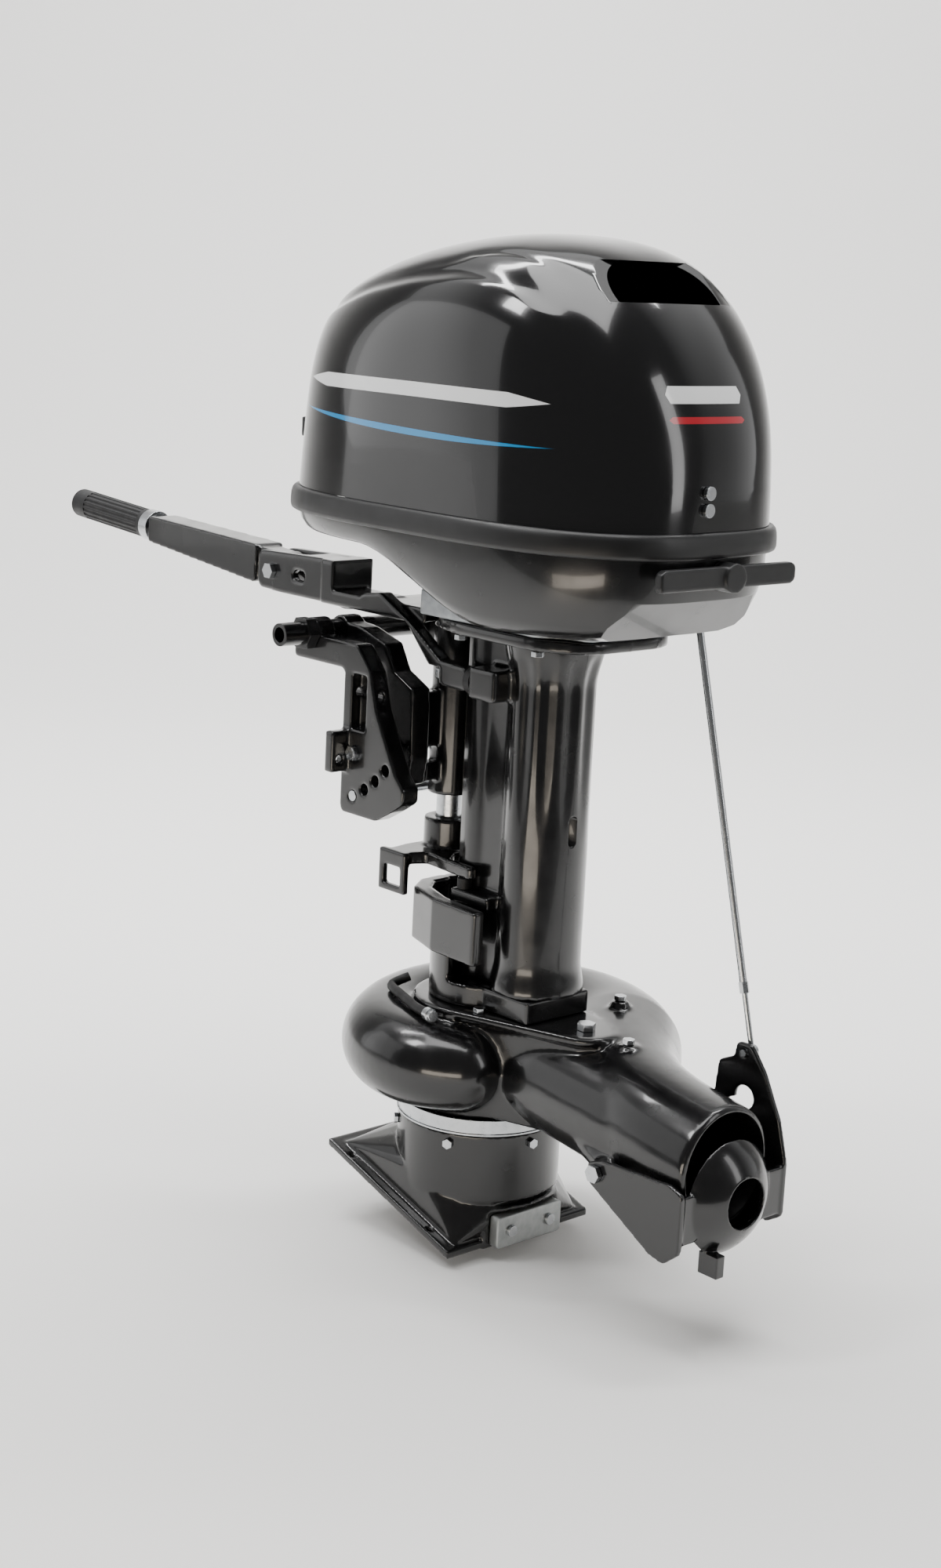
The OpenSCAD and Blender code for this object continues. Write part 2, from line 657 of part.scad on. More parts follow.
// A round tube along curve p: one ring of points at each step.
module swept(p, r, steps, sides) {
    rings = [for (k = [0 : steps]) let (u = k / steps, at = spline(p, u),
        d = spline(p, min(1, u + 0.01)) - spline(p, max(0, u - 0.01)), w = d / norm(d),
        x = cross(w, [0.3, 0.1, 1]) / norm(cross(w, [0.3, 0.1, 1])), y = cross(w, x))
        [for (i = [0 : sides - 1]) at + r * (x * cos(360 * i / sides) + y * sin(360 * i / sides))]];
    polyhedron([for (q = rings) each q], concat(
        [[for (i = [0 : sides - 1]) i]],
        [for (k = [0 : steps - 1]) for (i = [0 : sides - 1])
            [k * sides + i, (k + 1) * sides + i, (k + 1) * sides + (i + 1)
                % sides, k * sides + (i + 1) % sides]],
        [[for (i = [sides - 1 : -1 : 0]) steps * sides + i]]));
}

module grease_hose() {
    color("#101112") swept(hose_points, hose_d / 2, 20, 10);
}

module hose_fittings() {
    n = len(hose_points);
    a = hose_points[n - 1];
    d = a - hose_points[n - 2];
    color("#4a4d50") translate(a + d * 0.04) rotate([0, acos(d[2] / norm(d)), atan2(d[1], d[0])]) {
        cylinder(d = 15, h = 9);
        translate([0, 0, 9]) cylinder(d = 12, h = 6);
    }
}

// ---------- powerhead ----------

module engine_base() {
    plate = rounded([[88, -92], [88, 92], [268, 92], [298, 70], [320, 58], [320, -58], [298, -70],
        [268, -92]], 10);
    color("#5d6165") difference() {
        translate([0, 0, base_z - 15.5]) linear_extrude(27) polygon(plate);
        translate([shaft_x, 0, base_z - 30]) cylinder(r = drive_d / 2 + 9, h = 80);
        translate([column_x + 2, 0, base_z - 30]) cylinder(r = column_r - 12, h = 80);
    }
}

// The lower cowl's solid, drawn inwards by inset: a tray under the rim and a deep rear body.
module pan_shell(inset) {
    a = cowl_len / 2 - 9 - inset;
    b = cowl_w / 2 - 9 - inset;
    around(concat(ring(cowl_x, a, b, 3, rim_z + 6), ring(cowl_x, a, b, 3, rim_z - 8)));
    around(concat(ring(cowl_x, a, b, 3, rim_z - 8), ring(cowl_x + 8, a - 24, b - 8, 3, rim_z - 24 + inset)));
    around(concat(ring(cowl_x + 122, a - 124, b - 4, 3, rim_z - 10),
        ring(cowl_x + 158, 102 - inset, b - 22, 2.8, pan_z + 10 + inset),
        ring(cowl_x + 156, 92 - inset, b - 32, 2.8, pan_z + inset)));
    around(concat(ring(cowl_x + 40, 190, 100, 4, rim_z - 20), ring(cowl_x + 42, 140, 96, 4, pan_z + inset)));
}

// Chamfer under the rear edge that makes the carrying grip.
module grip_chamfer(inset) {
    x = cowl_x + cowl_len / 2;
    around([for (s = [-1, 1]) each [[x + 40, s * (80 + inset), pan_z + 44 + inset],
        [x - 26 - inset, s * (80 + inset), pan_z + 44 + inset], [x + 40, s * (52 + inset), pan_z - 20],
        [x - 88 - inset, s * (52 + inset), pan_z - 20],
            [x - 76 - inset, s * (56 + inset), pan_z + 1 + inset]]]);
}

module lower_cowl() {
    color("#1d1f21") difference() {
        pan_shell(0);
        grip_chamfer(0);
        difference() {
            translate([0, 0, 0.02]) pan_shell(cowl_wall);
            grip_chamfer(cowl_wall);
        }
        translate([64, -98, pan_z - 40]) cube([262, 196, 120]);
        // slot that lets the gate's link rod and lever through
        translate([rod_top[0] - 22, rod_y - 18, pan_z - 20]) cube([76, 30, 40]);
        bar_x(7 + running, 60, [latch_x - 40, latch_y, latch_z]);
    }
}

block_x = 208;

module cylinder_block() {
    z0 = base_z + 12;
    color("#6b6f73") difference() {
        union() {
            translate([shaft_x, 0, z0]) cylinder(r = 62, h = 190);
            translate([shaft_x, -66, z0 + 4]) cube([180, 132, 182]);
        }
        translate([shaft_x, 0, z0 - 1]) cylinder(r = 46, h = 193);
        for (z = [50, 136]) bar_x(34, 200, [shaft_x + 10, 0, z0 + z]);
    }
}

module cylinder_head() {
    z0 = base_z + 12;
    color("#777b7f") difference() {
        translate([shaft_x + 180.2, -64, z0 + 6]) cube([34, 128, 178]);
        for (z = [50, 136]) bar_x(7.02, 80, [shaft_x + 170, 0, z0 + z]);
    }
}

module spark_plugs() {
    z0 = base_z + 12;
    color("#e8e4da") for (z = [50, 136]) {
        bar_x(7, 50, [shaft_x + 184, 0, z0 + z]);
        bar_x(11, 10, [shaft_x + 215, 0, z0 + z], $fn = 6);
    }
}

module carburetor() {
    z0 = base_z + 86;
    color("#8a8e92") {
        translate([shaft_x - 118, -28, z0]) cube([55.8, 56, 60]);
        translate([shaft_x - 92, 0, z0 - 22]) cylinder(r = 24, h = 22.5);
    }
}

module air_silencer() {
    z0 = base_z + 66;
    color("#232527") difference() {
        translate([shaft_x - 178, -70, z0]) cube([59.8, 140, 90]);
        translate([shaft_x - 174, -66, z0 + 4]) cube([60, 132, 82]);
        bar_x(16, 10, [shaft_x - 180, 0, z0 + 30]);
    }
}

flywheel_z = base_z + 222;

module recoil_housing() {
    color("#2c2f31") difference() {
        union() {
            translate([shaft_x, 0, flywheel_z - 4]) cylinder(r = 116, h = 58);
            for (i = [0 : 2]) rotate_about(60 + 120 * i) translate([0, -12, flywheel_z - 4])
                cube([122, 24, 12]);
        }
        translate([shaft_x, 0, flywheel_z - 6]) cylinder(r = 110, h = 54);
        for (i = [0 : 9]) rotate_about(36 * i) translate([62, -7, flywheel_z + 40]) cube([34, 14, 40]);
    }
}

module flywheel() {
    color("#9a9da0") difference() {
        translate([shaft_x, 0, flywheel_z]) cylinder(r = 104, h = 40);
        translate([shaft_x, 0, flywheel_z - 1]) cylinder(r = 15, h = 60);
        translate([shaft_x, 0, flywheel_z + 10]) difference() {
            cylinder(r = 88, h = 60);
            cylinder(r = 34, h = 60);
        }
    }
}

module crankshaft() {
    z0 = base_z + 12;
    color("#a6a9ac") {
        translate([shaft_x, 0, z0 - 2]) cylinder(r = 15, h = flywheel_z + 40 - z0);
        for (z = [22, 66, 106, 150]) translate([shaft_x, 0, z0 + z]) cylinder(r = 40, h = 12);
    }
}

module driveshaft() {
    color("#a6a9ac") translate([shaft_x, 0, seam_z - 22])
        cylinder(d = drive_d, h = base_z + 10 - seam_z + 22);
}

impeller_z = seam_z - 2;

module impeller() {
    blades = 3;
    hub_h = volute_z - 60 - impeller_z;
    color("#b5a05a") difference() {
        union() {
            translate([shaft_x, 0, impeller_z]) cylinder(r1 = 24, r2 = 34, h = hub_h);
            for (i = [0 : blades - 1]) rotate_about(120 * i) translate([0, 0, impeller_z + 4])
                linear_extrude(hub_h - 8, twist = -80, slices = 8)
                    polygon([[20, -2.5], [liner_r - 14, -2.5], [liner_r - 14, 2.5], [20, 2.5]]);
        }
        translate([shaft_x, 0, impeller_z - 20]) cylinder(d = drive_d + 2 * running, h = hub_h + 60);
    }
}

// ---------- cowl ----------

// Height of the crown line at x, from the low front to the high rear.
function crown(x) = let (u = (x - cowl_x) / (cowl_len / 2))
    cowl_top - cowl_h * (u < 0.24 ? 0.27 * pow((0.24 - u) / 1.24, 1.8) : 0.35 * pow((u - 0.24) / 0.76, 3.2));

// Ring k of the dome: power-law section, drawn up to the crown line.
dome_steps = 10;
function dome_h(k) = k == dome_steps ? 1 : sin(90 * k / dome_steps);
function dome_ring(k, inset) = let (h = dome_h(k), front = pow(1 - pow(h, 14), 1 / 3),
    rear = pow(1 - pow(h, 3.4), 1 / 3), side = pow(1 - pow(h, 4.4), 1 / 2.8))
    [for (p = ring(0, cowl_len / 2 - 8 - inset, cowl_w / 2 - 8 - inset, 3 - 0.3 * h, 0))
        let (x = cowl_x + p[0] * (p[0] < 0 ? front * (1 - 0.05 * h) : rear))
        [x, p[1] * side, cowl_z + (crown(x) - inset - cowl_z) * h]];

module dome(inset) {
    for (k = [0 : dome_steps - 1]) around(concat(dome_ring(k, inset), dome_ring(k + 1, inset)));
}

scoop_x = cowl_x + 150;
scoop_z = cowl_top - 68;

module top_cowl() {
    color("#17181a") difference() {
        dome(0);
        translate([0, 0, -0.01]) dome(cowl_wall);
        // air scoop across the rear of the crown
        around([for (y = [-400, 400]) each [[scoop_x, y, scoop_z + 40], [scoop_x + 42, y, scoop_z],
            [cowl_x + 400, y, scoop_z + 6], [cowl_x + 400, y, scoop_z + 30],
                [scoop_x + 56, y, scoop_z + 40]]]);
        // notch for the starter's handle, open below so that the cowl lifts clear
        translate([cowl_x - cowl_len / 2 - 10, starter_y - 10, cowl_z - 40])
            cube([60, 20, 40 + starter_rise + 10]);
    }
}

module rim_seal() {
    a = cowl_len / 2;
    b = cowl_w / 2;
    color("#232527") difference() {
        union() {
            around(concat(ring(cowl_x, a - 3, b - 3, 3, rim_z + 0.2), ring(cowl_x, a, b, 3, rim_z + 5)));
            around(concat(ring(cowl_x, a, b, 3, rim_z + 5), ring(cowl_x, a, b, 3, cowl_z - 7)));
            around(concat(ring(cowl_x, a, b, 3, cowl_z - 7), ring(cowl_x, a - 5, b - 5, 3, cowl_z - 0.1)));
        }
        around(concat(ring(cowl_x, a - 9 + 0.4, b - 9 + 0.4, 3, rim_z - 1), ring(cowl_x,
            a - 9 + 0.4, b - 9 + 0.4, 3, rim_z + 6.4)));
        around(concat(ring(cowl_x, a - 15, b - 15, 3, rim_z - 1), ring(cowl_x, a - 15, b - 15, 3,
            cowl_z + 1)));
        translate([cowl_x - a - 10, starter_y - 10, rim_z - 10]) cube([60, 20, 60]);
    }
}

module cowl_intake_duct() {
    color("#101112") difference() {
        translate([scoop_x - 2, -76, scoop_z - 36]) cube([40, 152, 32]);
        translate([scoop_x + 2, -72, scoop_z - 32]) cube([32, 144, 60]);
        for (k = [-2 : 2]) translate([scoop_x + 8, 27 * k - 10, scoop_z - 60]) cube([20, 20, 60]);
    }
}

screw_side = 1.0;

module cowl_screws() {
    color("#c9ccd0") for (z = [22, 39])
        bar_x(7, 5, [cowl_x + (cowl_len / 2 - 8) * screw_side, -16, cowl_z + z]);
}

latch_y = 11;
latch_z = rim_z - 16;
latch_x = cowl_x + cowl_len / 2 - 8.6;

module cowl_latch() {
    lever = rounded([[-104, -12], [-104, 6], [-98, 10], [88, 10], [94, 6], [94, -8], [88, -12]], 4);
    color("#1f2123") {
        translate([latch_x + 9, latch_y, latch_z]) rotate([90, 0, 90]) linear_extrude(10) polygon(lever);
        bar_x(15, 23, [latch_x, latch_y, latch_z - 2]);
    }
}

module latch_spindle() {
    color("#9a9da0") bar_x(7, 40, [latch_x - 40.2, latch_y, latch_z]);
}

starter_y = -30;
starter_rise = 56;

module starter_handle() {
    x = cowl_x - cowl_len / 2;
    z = cowl_z + starter_rise;
    color("#141517") {
        translate([x - 18, starter_y - 42, z - 11]) cube([16, 84, 22]);
        bar_x(8, 30, [x - 4, starter_y, z]);
    }
}

// ---------- reverse gate ----------

gate_x = shaft_x + 262;
gate_z = outlet_z - 22;
dome_x = outlet_x + 6;
dome_z = outlet_z - 28;
bulge = 32;
dome_r = 62;
cheek_port = outlet_r + 6;  // the gate's cheeks start this far from the middle
cheek_star = outlet_r + 13;
cheek_t = 6;
ear_x = gate_x + 54;
ear_z = gate_z + 116;
rod_y = cheek_star + cheek_t + 7;
lever_x = gate_x - 8;
lever_z = pan_z + 48;
rod_top = [lever_x - 64, rod_y, lever_z - 12];

module reverse_gate() {
    arm = rounded([[gate_x - 14, gate_z + 8], [gate_x + 8, gate_z + 16], [dome_x - 12, dome_z + 26],
        [dome_x + 6, dome_z + 20], [dome_x + 6, dome_z - 44], [dome_x - 14, dome_z - 60],
        [dome_x - 34, dome_z - 56], [gate_x - 10, gate_z - 13]], 6);
    cheek = rounded([[gate_x - 14, gate_z - 10], [gate_x - 12, gate_z + 16], [gate_x + 16, gate_z + 62],
        [ear_x - 34, ear_z - 16], [ear_x - 13, ear_z - 6], [ear_x - 11, ear_z + 11], [ear_x + 10, ear_z + 11],
        [ear_x + 30, ear_z - 14], [dome_x - 6, gate_z + 56], [dome_x + 6, dome_z + 20],
            [dome_x + 6, dome_z - 40],
        [dome_x - 14, dome_z - 52], [gate_x + 10, gate_z - 16]], 7);
    color("#17191b") difference() {
        union() {
            side_plate(arm, -cheek_port - cheek_t, cheek_t);
            side_plate(cheek, cheek_star, cheek_t);
            translate([dome_x - 1, 0, dome_z]) rotate([0, 90, 0]) rotate_extrude($fn = 64) bowl();
            // shelves that join the bowl to the two cheeks
            translate([dome_x - 1, -cheek_port - cheek_t, dome_z - 36])
                cube([6, cheek_port + cheek_t - 50, 52]);
            translate([dome_x - 1, 50, dome_z - 36]) cube([6, cheek_star + cheek_t - 50, 52]);
            // trough under the outlet, from cheek to cheek
            translate([gate_x + 42, 3.5, outlet_z]) rotate([90, 0, 90]) linear_extrude(dome_x - gate_x - 38)
                difference() {
                    circle(r = outlet_r + 15.5, $fn = 64);
                    circle(r = outlet_r + 9.5, $fn = 64);
                    translate([-100, -34]) square([200, 200]);
                }
            // foot with the lock bolt under the bowl
            translate([dome_x - 8, -30, dome_z - dome_r - 16]) cube([26, 12, 24]);
        }
        bar_y(6 + running, 400, [gate_x, 0, gate_z]);
        bar_y(4 + running, 30, [ear_x, cheek_star, ear_z]);
        // see-through oval in the starboard cheek
        for (k = [0, 1]) bar_y(13, 30, [gate_x + 46 + 12 * k, cheek_star, gate_z + 52 + 16 * k]);
    }
}

// Half section of the bowl that turns the jet: a shallow cap with a bleed hole.
module bowl() {
    big = (dome_r * dome_r + bulge * bulge) / (2 * bulge);
    intersection() {
        translate([0, bulge - big]) difference() {
            circle(r = big);
            circle(r = big - 6);
        }
        translate([27, 0]) square([dome_r, dome_r]);
    }
}

module gate_pivots() {
    color("#b9bcc0") for (y = [-cheek_port, cheek_star]) {
        bar_y(6, 24, [gate_x, y + sign(y) * 0.5, gate_z]);
        bar_y(10, 6, [gate_x, y + sign(y) * (cheek_t + 3.6), gate_z], $fn = 6);
    }
}

module gate_link_rod() {
    bottom = [ear_x, rod_y, ear_z];
    d = rod_top - bottom;
    tilt = atan2(d[0], d[2]);
    split = 62;
    color("#c6c8ca") {
        bar_y(4, 19, [ear_x, rod_y - 5.5, ear_z]);
        bar_y(7, 6, [ear_x, rod_y, ear_z]);
        translate([ear_x, rod_y, ear_z]) rotate([0, tilt, 0]) {
            cylinder(r = 3, h = split + 10);
            translate([0, 0, split]) cylinder(r = 5.5, h = 12, $fn = 6);
            translate([0, 0, split + 8]) cylinder(r = 4.2, h = norm(d) - split - 8);
        }
        bar_y(7, 6, rod_top);
        bar_y(4, 16, [rod_top[0], rod_y - 7, rod_top[2]]);
    }
}

// The lever that works the link rod. Its slot takes up the rod's sideways swing.
module shift_lever() {
    y = rod_y - 11;
    d = [rod_top[0] - lever_x, rod_top[2] - lever_z];
    color("#6a6d70") translate([lever_x, y, lever_z]) rotate([0, -atan2(d[1], d[0]), 0]) difference() {
        union() {
            bar_y(11, 6, [0, 0, 0]);
            translate([0, -3, -8]) cube([norm(d), 6, 16]);
            translate([norm(d) - 17, -3, -11]) cube([36, 6, 22]);
        }
        bar_y(6 + running, 20, [0, 0, 0]);
        for (k = [-6, 6]) bar_y(7, 20, [norm(d) + k, 0, 0]);
        translate([norm(d) - 6, -10, -7]) cube([12, 20, 14]);
    }
}

module lever_spindle() {
    y = rod_y - 11;
    color("#9a9da0") {
        bar_y(6, 22, [lever_x, y - 1, lever_z]);
        // bracket that carries it, bolted to the engine base
        translate([lever_x - 120, y - 14, lever_z - 7]) cube([127, 10, 16]);
        translate([lever_x - 120, y - 14, base_z + 11.6]) cube([19, 10, lever_z - base_z - 16]);
    }
}

// ---------- selection ----------

clamp_bracket_port();
clamp_bracket_starboard();
tilt_tube();
tilt_tube_nuts();
bracket_stay();
trim_pin();
swivel_bracket();
swivel_bushes();
friction_lever();
steering_shaft();
steering_arm();
lower_yoke();
lower_mount_covers();
mount_rubbers();
mount_bolts();
driveshaft_housing();
exhaust_tube();
pump_neck();
jet_casing();
impeller_liner();
intake_casing();
intake_grille();
anode();
anode_screws();
pump_bolts();
liner_bolts();
pump_bearing();
grease_hose();
hose_fittings();
engine_base();
lower_cowl();
cylinder_block();
cylinder_head();
spark_plugs();
carburetor();
air_silencer();
recoil_housing();
driveshaft();
crankshaft();
flywheel();
impeller();
tiller_arm();
tiller_pivot();
throttle_grip();
grip_collar();
top_cowl();
rim_seal();
cowl_intake_duct();
cowl_screws();
cowl_latch();
latch_spindle();
starter_handle();
reverse_gate();
gate_pivots();
gate_link_rod();
shift_lever();
lever_spindle();
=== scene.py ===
# %% [markdown]
# # A jet-drive outboard motor, built around a fixed frame
# The frame holds every solid of the motor as rigid bodies with joints. This lesson keeps those
# solids where they are, gives them cast, moulded and machined finishes, and builds finer skins
# for the pieces whose surfaces are all curves: the cowl, its rim band, the lower cowl, the pump
# casing and the driveshaft housing.

# %% Load the frame
import json
import math
import bmesh
import bpy
from mathutils import Matrix, Vector


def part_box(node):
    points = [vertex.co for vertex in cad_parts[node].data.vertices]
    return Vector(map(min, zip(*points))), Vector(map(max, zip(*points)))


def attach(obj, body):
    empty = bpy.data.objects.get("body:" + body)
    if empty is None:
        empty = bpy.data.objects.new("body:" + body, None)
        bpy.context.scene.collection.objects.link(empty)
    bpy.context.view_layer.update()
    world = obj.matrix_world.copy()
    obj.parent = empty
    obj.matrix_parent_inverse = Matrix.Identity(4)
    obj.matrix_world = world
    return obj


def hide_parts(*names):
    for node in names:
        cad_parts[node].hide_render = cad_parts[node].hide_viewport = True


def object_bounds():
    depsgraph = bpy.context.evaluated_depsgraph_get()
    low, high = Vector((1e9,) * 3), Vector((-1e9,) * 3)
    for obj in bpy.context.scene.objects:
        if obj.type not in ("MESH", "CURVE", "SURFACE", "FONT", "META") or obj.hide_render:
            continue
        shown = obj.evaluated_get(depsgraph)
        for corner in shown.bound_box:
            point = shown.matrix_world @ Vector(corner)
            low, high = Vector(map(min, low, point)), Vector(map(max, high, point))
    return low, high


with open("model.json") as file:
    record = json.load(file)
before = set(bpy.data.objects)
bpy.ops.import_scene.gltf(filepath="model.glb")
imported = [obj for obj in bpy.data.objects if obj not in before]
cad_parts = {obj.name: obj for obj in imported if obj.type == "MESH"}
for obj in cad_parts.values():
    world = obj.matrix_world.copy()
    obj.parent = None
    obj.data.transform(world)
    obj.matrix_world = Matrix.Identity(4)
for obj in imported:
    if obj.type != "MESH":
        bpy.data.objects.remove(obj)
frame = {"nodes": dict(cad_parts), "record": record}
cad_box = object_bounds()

MM = 0.001
nodes = frame["nodes"]

# %% [markdown]
# ## Small tools
# `mesh_piece` turns points in millimetres into an object, `rings_to_faces` joins rings of points
# into a skin, and `smoothstep` eases one value into another. `extent` reads where a piece of the
# frame lies, and most places below are worked out from it. Lofting rings is the plain way to
# make a moulded shell: each ring is one section.

# %% Mesh helpers
def smoothstep(low, high, value):
    t = min(1.0, max(0.0, (value - low) / (high - low)))
    return t * t * (3 - 2 * t)


def extent(name):
    """Low corner, high corner and middle of a frame node's box, in millimetres."""
    low, high = (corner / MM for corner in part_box(name))
    return low, high, (low + high) / 2


def rings_to_faces(rings, first=0, caps=(True, True)):
    count = len(rings[0])
    faces = []
    for k in range(len(rings) - 1):
        a, b = first + k * count, first + (k + 1) * count
        faces += [(a + i, a + (i + 1) % count, b + (i + 1) % count, b + i) for i in range(count)]
    if caps[0]:
        faces.append(tuple(first + i for i in reversed(range(count))))
    if caps[1]:
        last = first + (len(rings) - 1) * count
        faces.append(tuple(last + i for i in range(count)))
    return faces


def mesh_piece(name, points, faces):
    mesh = bpy.data.meshes.new(name)
    mesh.from_pydata([Vector(p) * MM for p in points], [], faces)
    bm = bmesh.new()
    bm.from_mesh(mesh)
    bmesh.ops.remove_doubles(bm, verts=bm.verts, dist=0.00002)
    bmesh.ops.recalc_face_normals(bm, faces=bm.faces)
    bm.to_mesh(mesh)
    bm.free()
    mesh.polygons.foreach_set("use_smooth", [True] * len(mesh.polygons))
    piece = bpy.data.objects.new(name, mesh)
    bpy.context.scene.collection.objects.link(piece)
    return piece


def loft(name, rings, caps=(True, True)):
    return mesh_piece(name, [p for ring in rings for p in ring], rings_to_faces(rings, caps=caps))


def box_piece(name, low, high):
    """A box between two corners, for cutting."""
    points = [(x, y, z) for x in (low[0], high[0]) for y in (low[1], high[1])
              for z in (low[2], high[2])]
    return mesh_piece(name, points, [(0, 1, 3, 2), (4, 6, 7, 5), (0, 4, 5, 1), (2, 3, 7, 6),
                                     (0, 2, 6, 4), (1, 5, 7, 3)])


def modifier(piece, kind, **settings):
    made = piece.modifiers.new(kind.lower(), kind)
    for key, value in settings.items():
        setattr(made, key, value)
    return made


def bake_modifiers(piece):
    evaluated = piece.evaluated_get(bpy.context.evaluated_depsgraph_get())
    mesh = bpy.data.meshes.new_from_object(evaluated)
    piece.modifiers.clear()
    piece.data = mesh
    mesh.polygons.foreach_set("use_smooth", [True] * len(mesh.polygons))
    return piece


def cut(piece, cutter):
    modifier(piece, "BOOLEAN", operation="DIFFERENCE", object=cutter, solver="EXACT")
    bake_modifiers(piece)
    bpy.data.objects.remove(cutter)


def squarcle(cx, half_x, half_y, power, z, steps=96):
    """A ring between an ellipse and a rectangle, as cowls have in plan."""
    ring = []
    for i in range(steps):
        t = 2 * math.pi * i / steps
        c, s = math.cos(t), math.sin(t)
        ring.append((cx + half_x * math.copysign(abs(c) ** (2 / power), c),
                     half_y * math.copysign(abs(s) ** (2 / power), s), z))
    return ring


print("tools ready")

# %% [markdown]
# ## Camera
# The motor is seen from its port quarter, a little above the lower cowl, and the frame is
# tipped by a few degrees. A long lens from 2.7 m keeps the uprights nearly parallel.

# %% Camera
AZIMUTH, ELEVATION, ROLL = (math.radians(a) for a in (47.2, 12.5, 2.9))
AIM = Vector((88, 0, -27.2)) * MM
DISTANCE = 2.7

back = Vector((math.sin(AZIMUTH) * math.cos(ELEVATION),
               -math.cos(AZIMUTH) * math.cos(ELEVATION), math.sin(ELEVATION)))
level = Vector((math.cos(AZIMUTH), math.sin(AZIMUTH), 0))
rise = back.cross(level)
right = level * math.cos(ROLL) + rise * math.sin(ROLL)
up = rise * math.cos(ROLL) - level * math.sin(ROLL)

lens = bpy.data.cameras.new("camera")
lens.sensor_width = 36
lens.lens = 55.44
lens.clip_end = 60
camera = bpy.data.objects.new("camera", lens)
bpy.context.scene.collection.objects.link(camera)
camera.matrix_world = Matrix((right, up, back)).transposed().to_4x4()
camera.location = AIM + back * DISTANCE
bpy.context.scene.camera = camera
print("camera at", [round(v, 3) for v in camera.location])

# %% [markdown]
# ## Studio
# Gloss black shows nothing but its reflections, so the lights are shaped for what they look
# like in the paint. One large softbox hangs overhead and a tall one stands to port, for the
# long soft gleam down the cowl's side. A small one lights the crest, a narrow one draws the
# stern's edge, one lights only the backdrop, and a low warm strip fills the undersides.

# %% Colours, floor and lights
def srgb(text):
    """Turns '#rrggbb' into the linear colour that shaders work in."""
    parts = [int(text[i:i + 2], 16) / 255 for i in (1, 3, 5)]
    return (*[c / 12.92 if c <= 0.04045 else ((c + 0.055) / 1.055) ** 2.4 for c in parts], 1)


def add(tree, kind, inputs=(), **settings):
    """Adds one shader node, with its settings, values and links."""
    made = tree.nodes.new("ShaderNode" + kind)
    for key, value in settings.items():
        setattr(made, key, value)
    for key, value in dict(inputs).items():
        if isinstance(value, bpy.types.NodeSocket):
            tree.links.new(value, made.inputs[key])
        else:
            made.inputs[key].default_value = value
    return made


def softbox(name, place, aim, size, power, colour="#ffffff"):
    data = bpy.data.lights.new(name, "AREA")
    data.shape, data.size, data.size_y = "RECTANGLE", size[0], size[1]
    data.energy, data.color = power, srgb(colour)[:3]
    lamp = bpy.data.objects.new(name, data)
    lamp.location = place
    lamp.rotation_mode = "QUATERNION"
    lamp.rotation_quaternion = (Vector(aim) - Vector(place)).to_track_quat("-Z", "Y")
    bpy.context.scene.collection.objects.link(lamp)


FLOOR_GAP = 0.012
FLOOR_Z = cad_box[0].z - FLOOR_GAP
softbox("overhead", (0.35, -0.35, 2.7), (0.15, 0, 0.2), (2.4, 1.5), 70)
softbox("port_bank", (-1.9, -2.2, 0.9), (0.0, 0, 0.3), (2.0, 2.2), 13)
softbox("crest_light", (-0.7, -1.7, 2.3), (0.1, 0, 0.1), (0.5, 0.7), 26)
softbox("stern_bank", (2.5, 1.0, 1.0), (0.3, 0, 0.1), (0.45, 1.9), 12)
softbox("sheet_light", tuple(-back * 0.9 + Vector((0, 0, 3.4))),
        tuple(-back * 4.2 + Vector((0, 0, 1.6))), (4.5, 1.0), 420)
softbox("low_strip", (0.85, -1.25, -0.38), (0.2, 0, -0.25), (1.1, 0.22), 5, "#fff3e2")

# Bright behind the motor and dark on the camera's side, so that black paint stays black.
world = bpy.data.worlds.new("studio")
bpy.context.scene.world = world
world.use_nodes = True
sky = world.node_tree
direction = add(sky, "TexCoord").outputs["Generated"]
facing = add(sky, "VectorMath", {0: direction, 1: tuple(-back)}, operation="DOT_PRODUCT")
glow = add(sky, "MapRange", {"Value": facing.outputs["Value"], "From Min": -0.1, "From Max": 0.75,
                             "To Min": 0.16, "To Max": 2.6})
sky.nodes["Background"].inputs["Color"].default_value = srgb("#fbfbfb")
sky.links.new(glow.outputs["Result"], sky.nodes["Background"].inputs["Strength"])

# The sheet runs into a curved wall far behind, so that no horizon shows. Sizes in metres.
SHEET_NEAR, SHEET_BEND, BEND_R, WALL_TOP, HALF_SHEET = 1.3, 3.0, 2.5, 8.0, 12
BEND_STEPS = 12
bend = [math.pi / 2 * k / BEND_STEPS for k in range(1, BEND_STEPS + 1)]
profile = [(-SHEET_NEAR, 0.0), (SHEET_BEND, 0.0)]
profile += [(SHEET_BEND + BEND_R * math.sin(a), BEND_R - BEND_R * math.cos(a)) for a in bend]
profile.append((SHEET_BEND + BEND_R, WALL_TOP))
away = -Vector((back.x, back.y, 0)).normalized()
sideways = Vector((-away.y, away.x, 0))
floor_points = []
for run, height in profile:
    for side in (-HALF_SHEET, HALF_SHEET):
        floor_points.append((away * run + sideways * side + Vector((0, 0, FLOOR_Z + height))) / MM)
floor = mesh_piece("floor", floor_points,
                   [(2 * k, 2 * k + 1, 2 * k + 3, 2 * k + 2) for k in range(len(profile) - 1)])
paper = bpy.data.materials.new("paper_backdrop")
paper.use_nodes = True
sheet = paper.node_tree.nodes["Principled BSDF"]
sheet.inputs["Base Color"].default_value = srgb("#f6f5f3")
sheet.inputs["Roughness"].default_value = 0.9
floor.data.materials.append(paper)
print("floor at", round(FLOOR_Z, 3), "m")

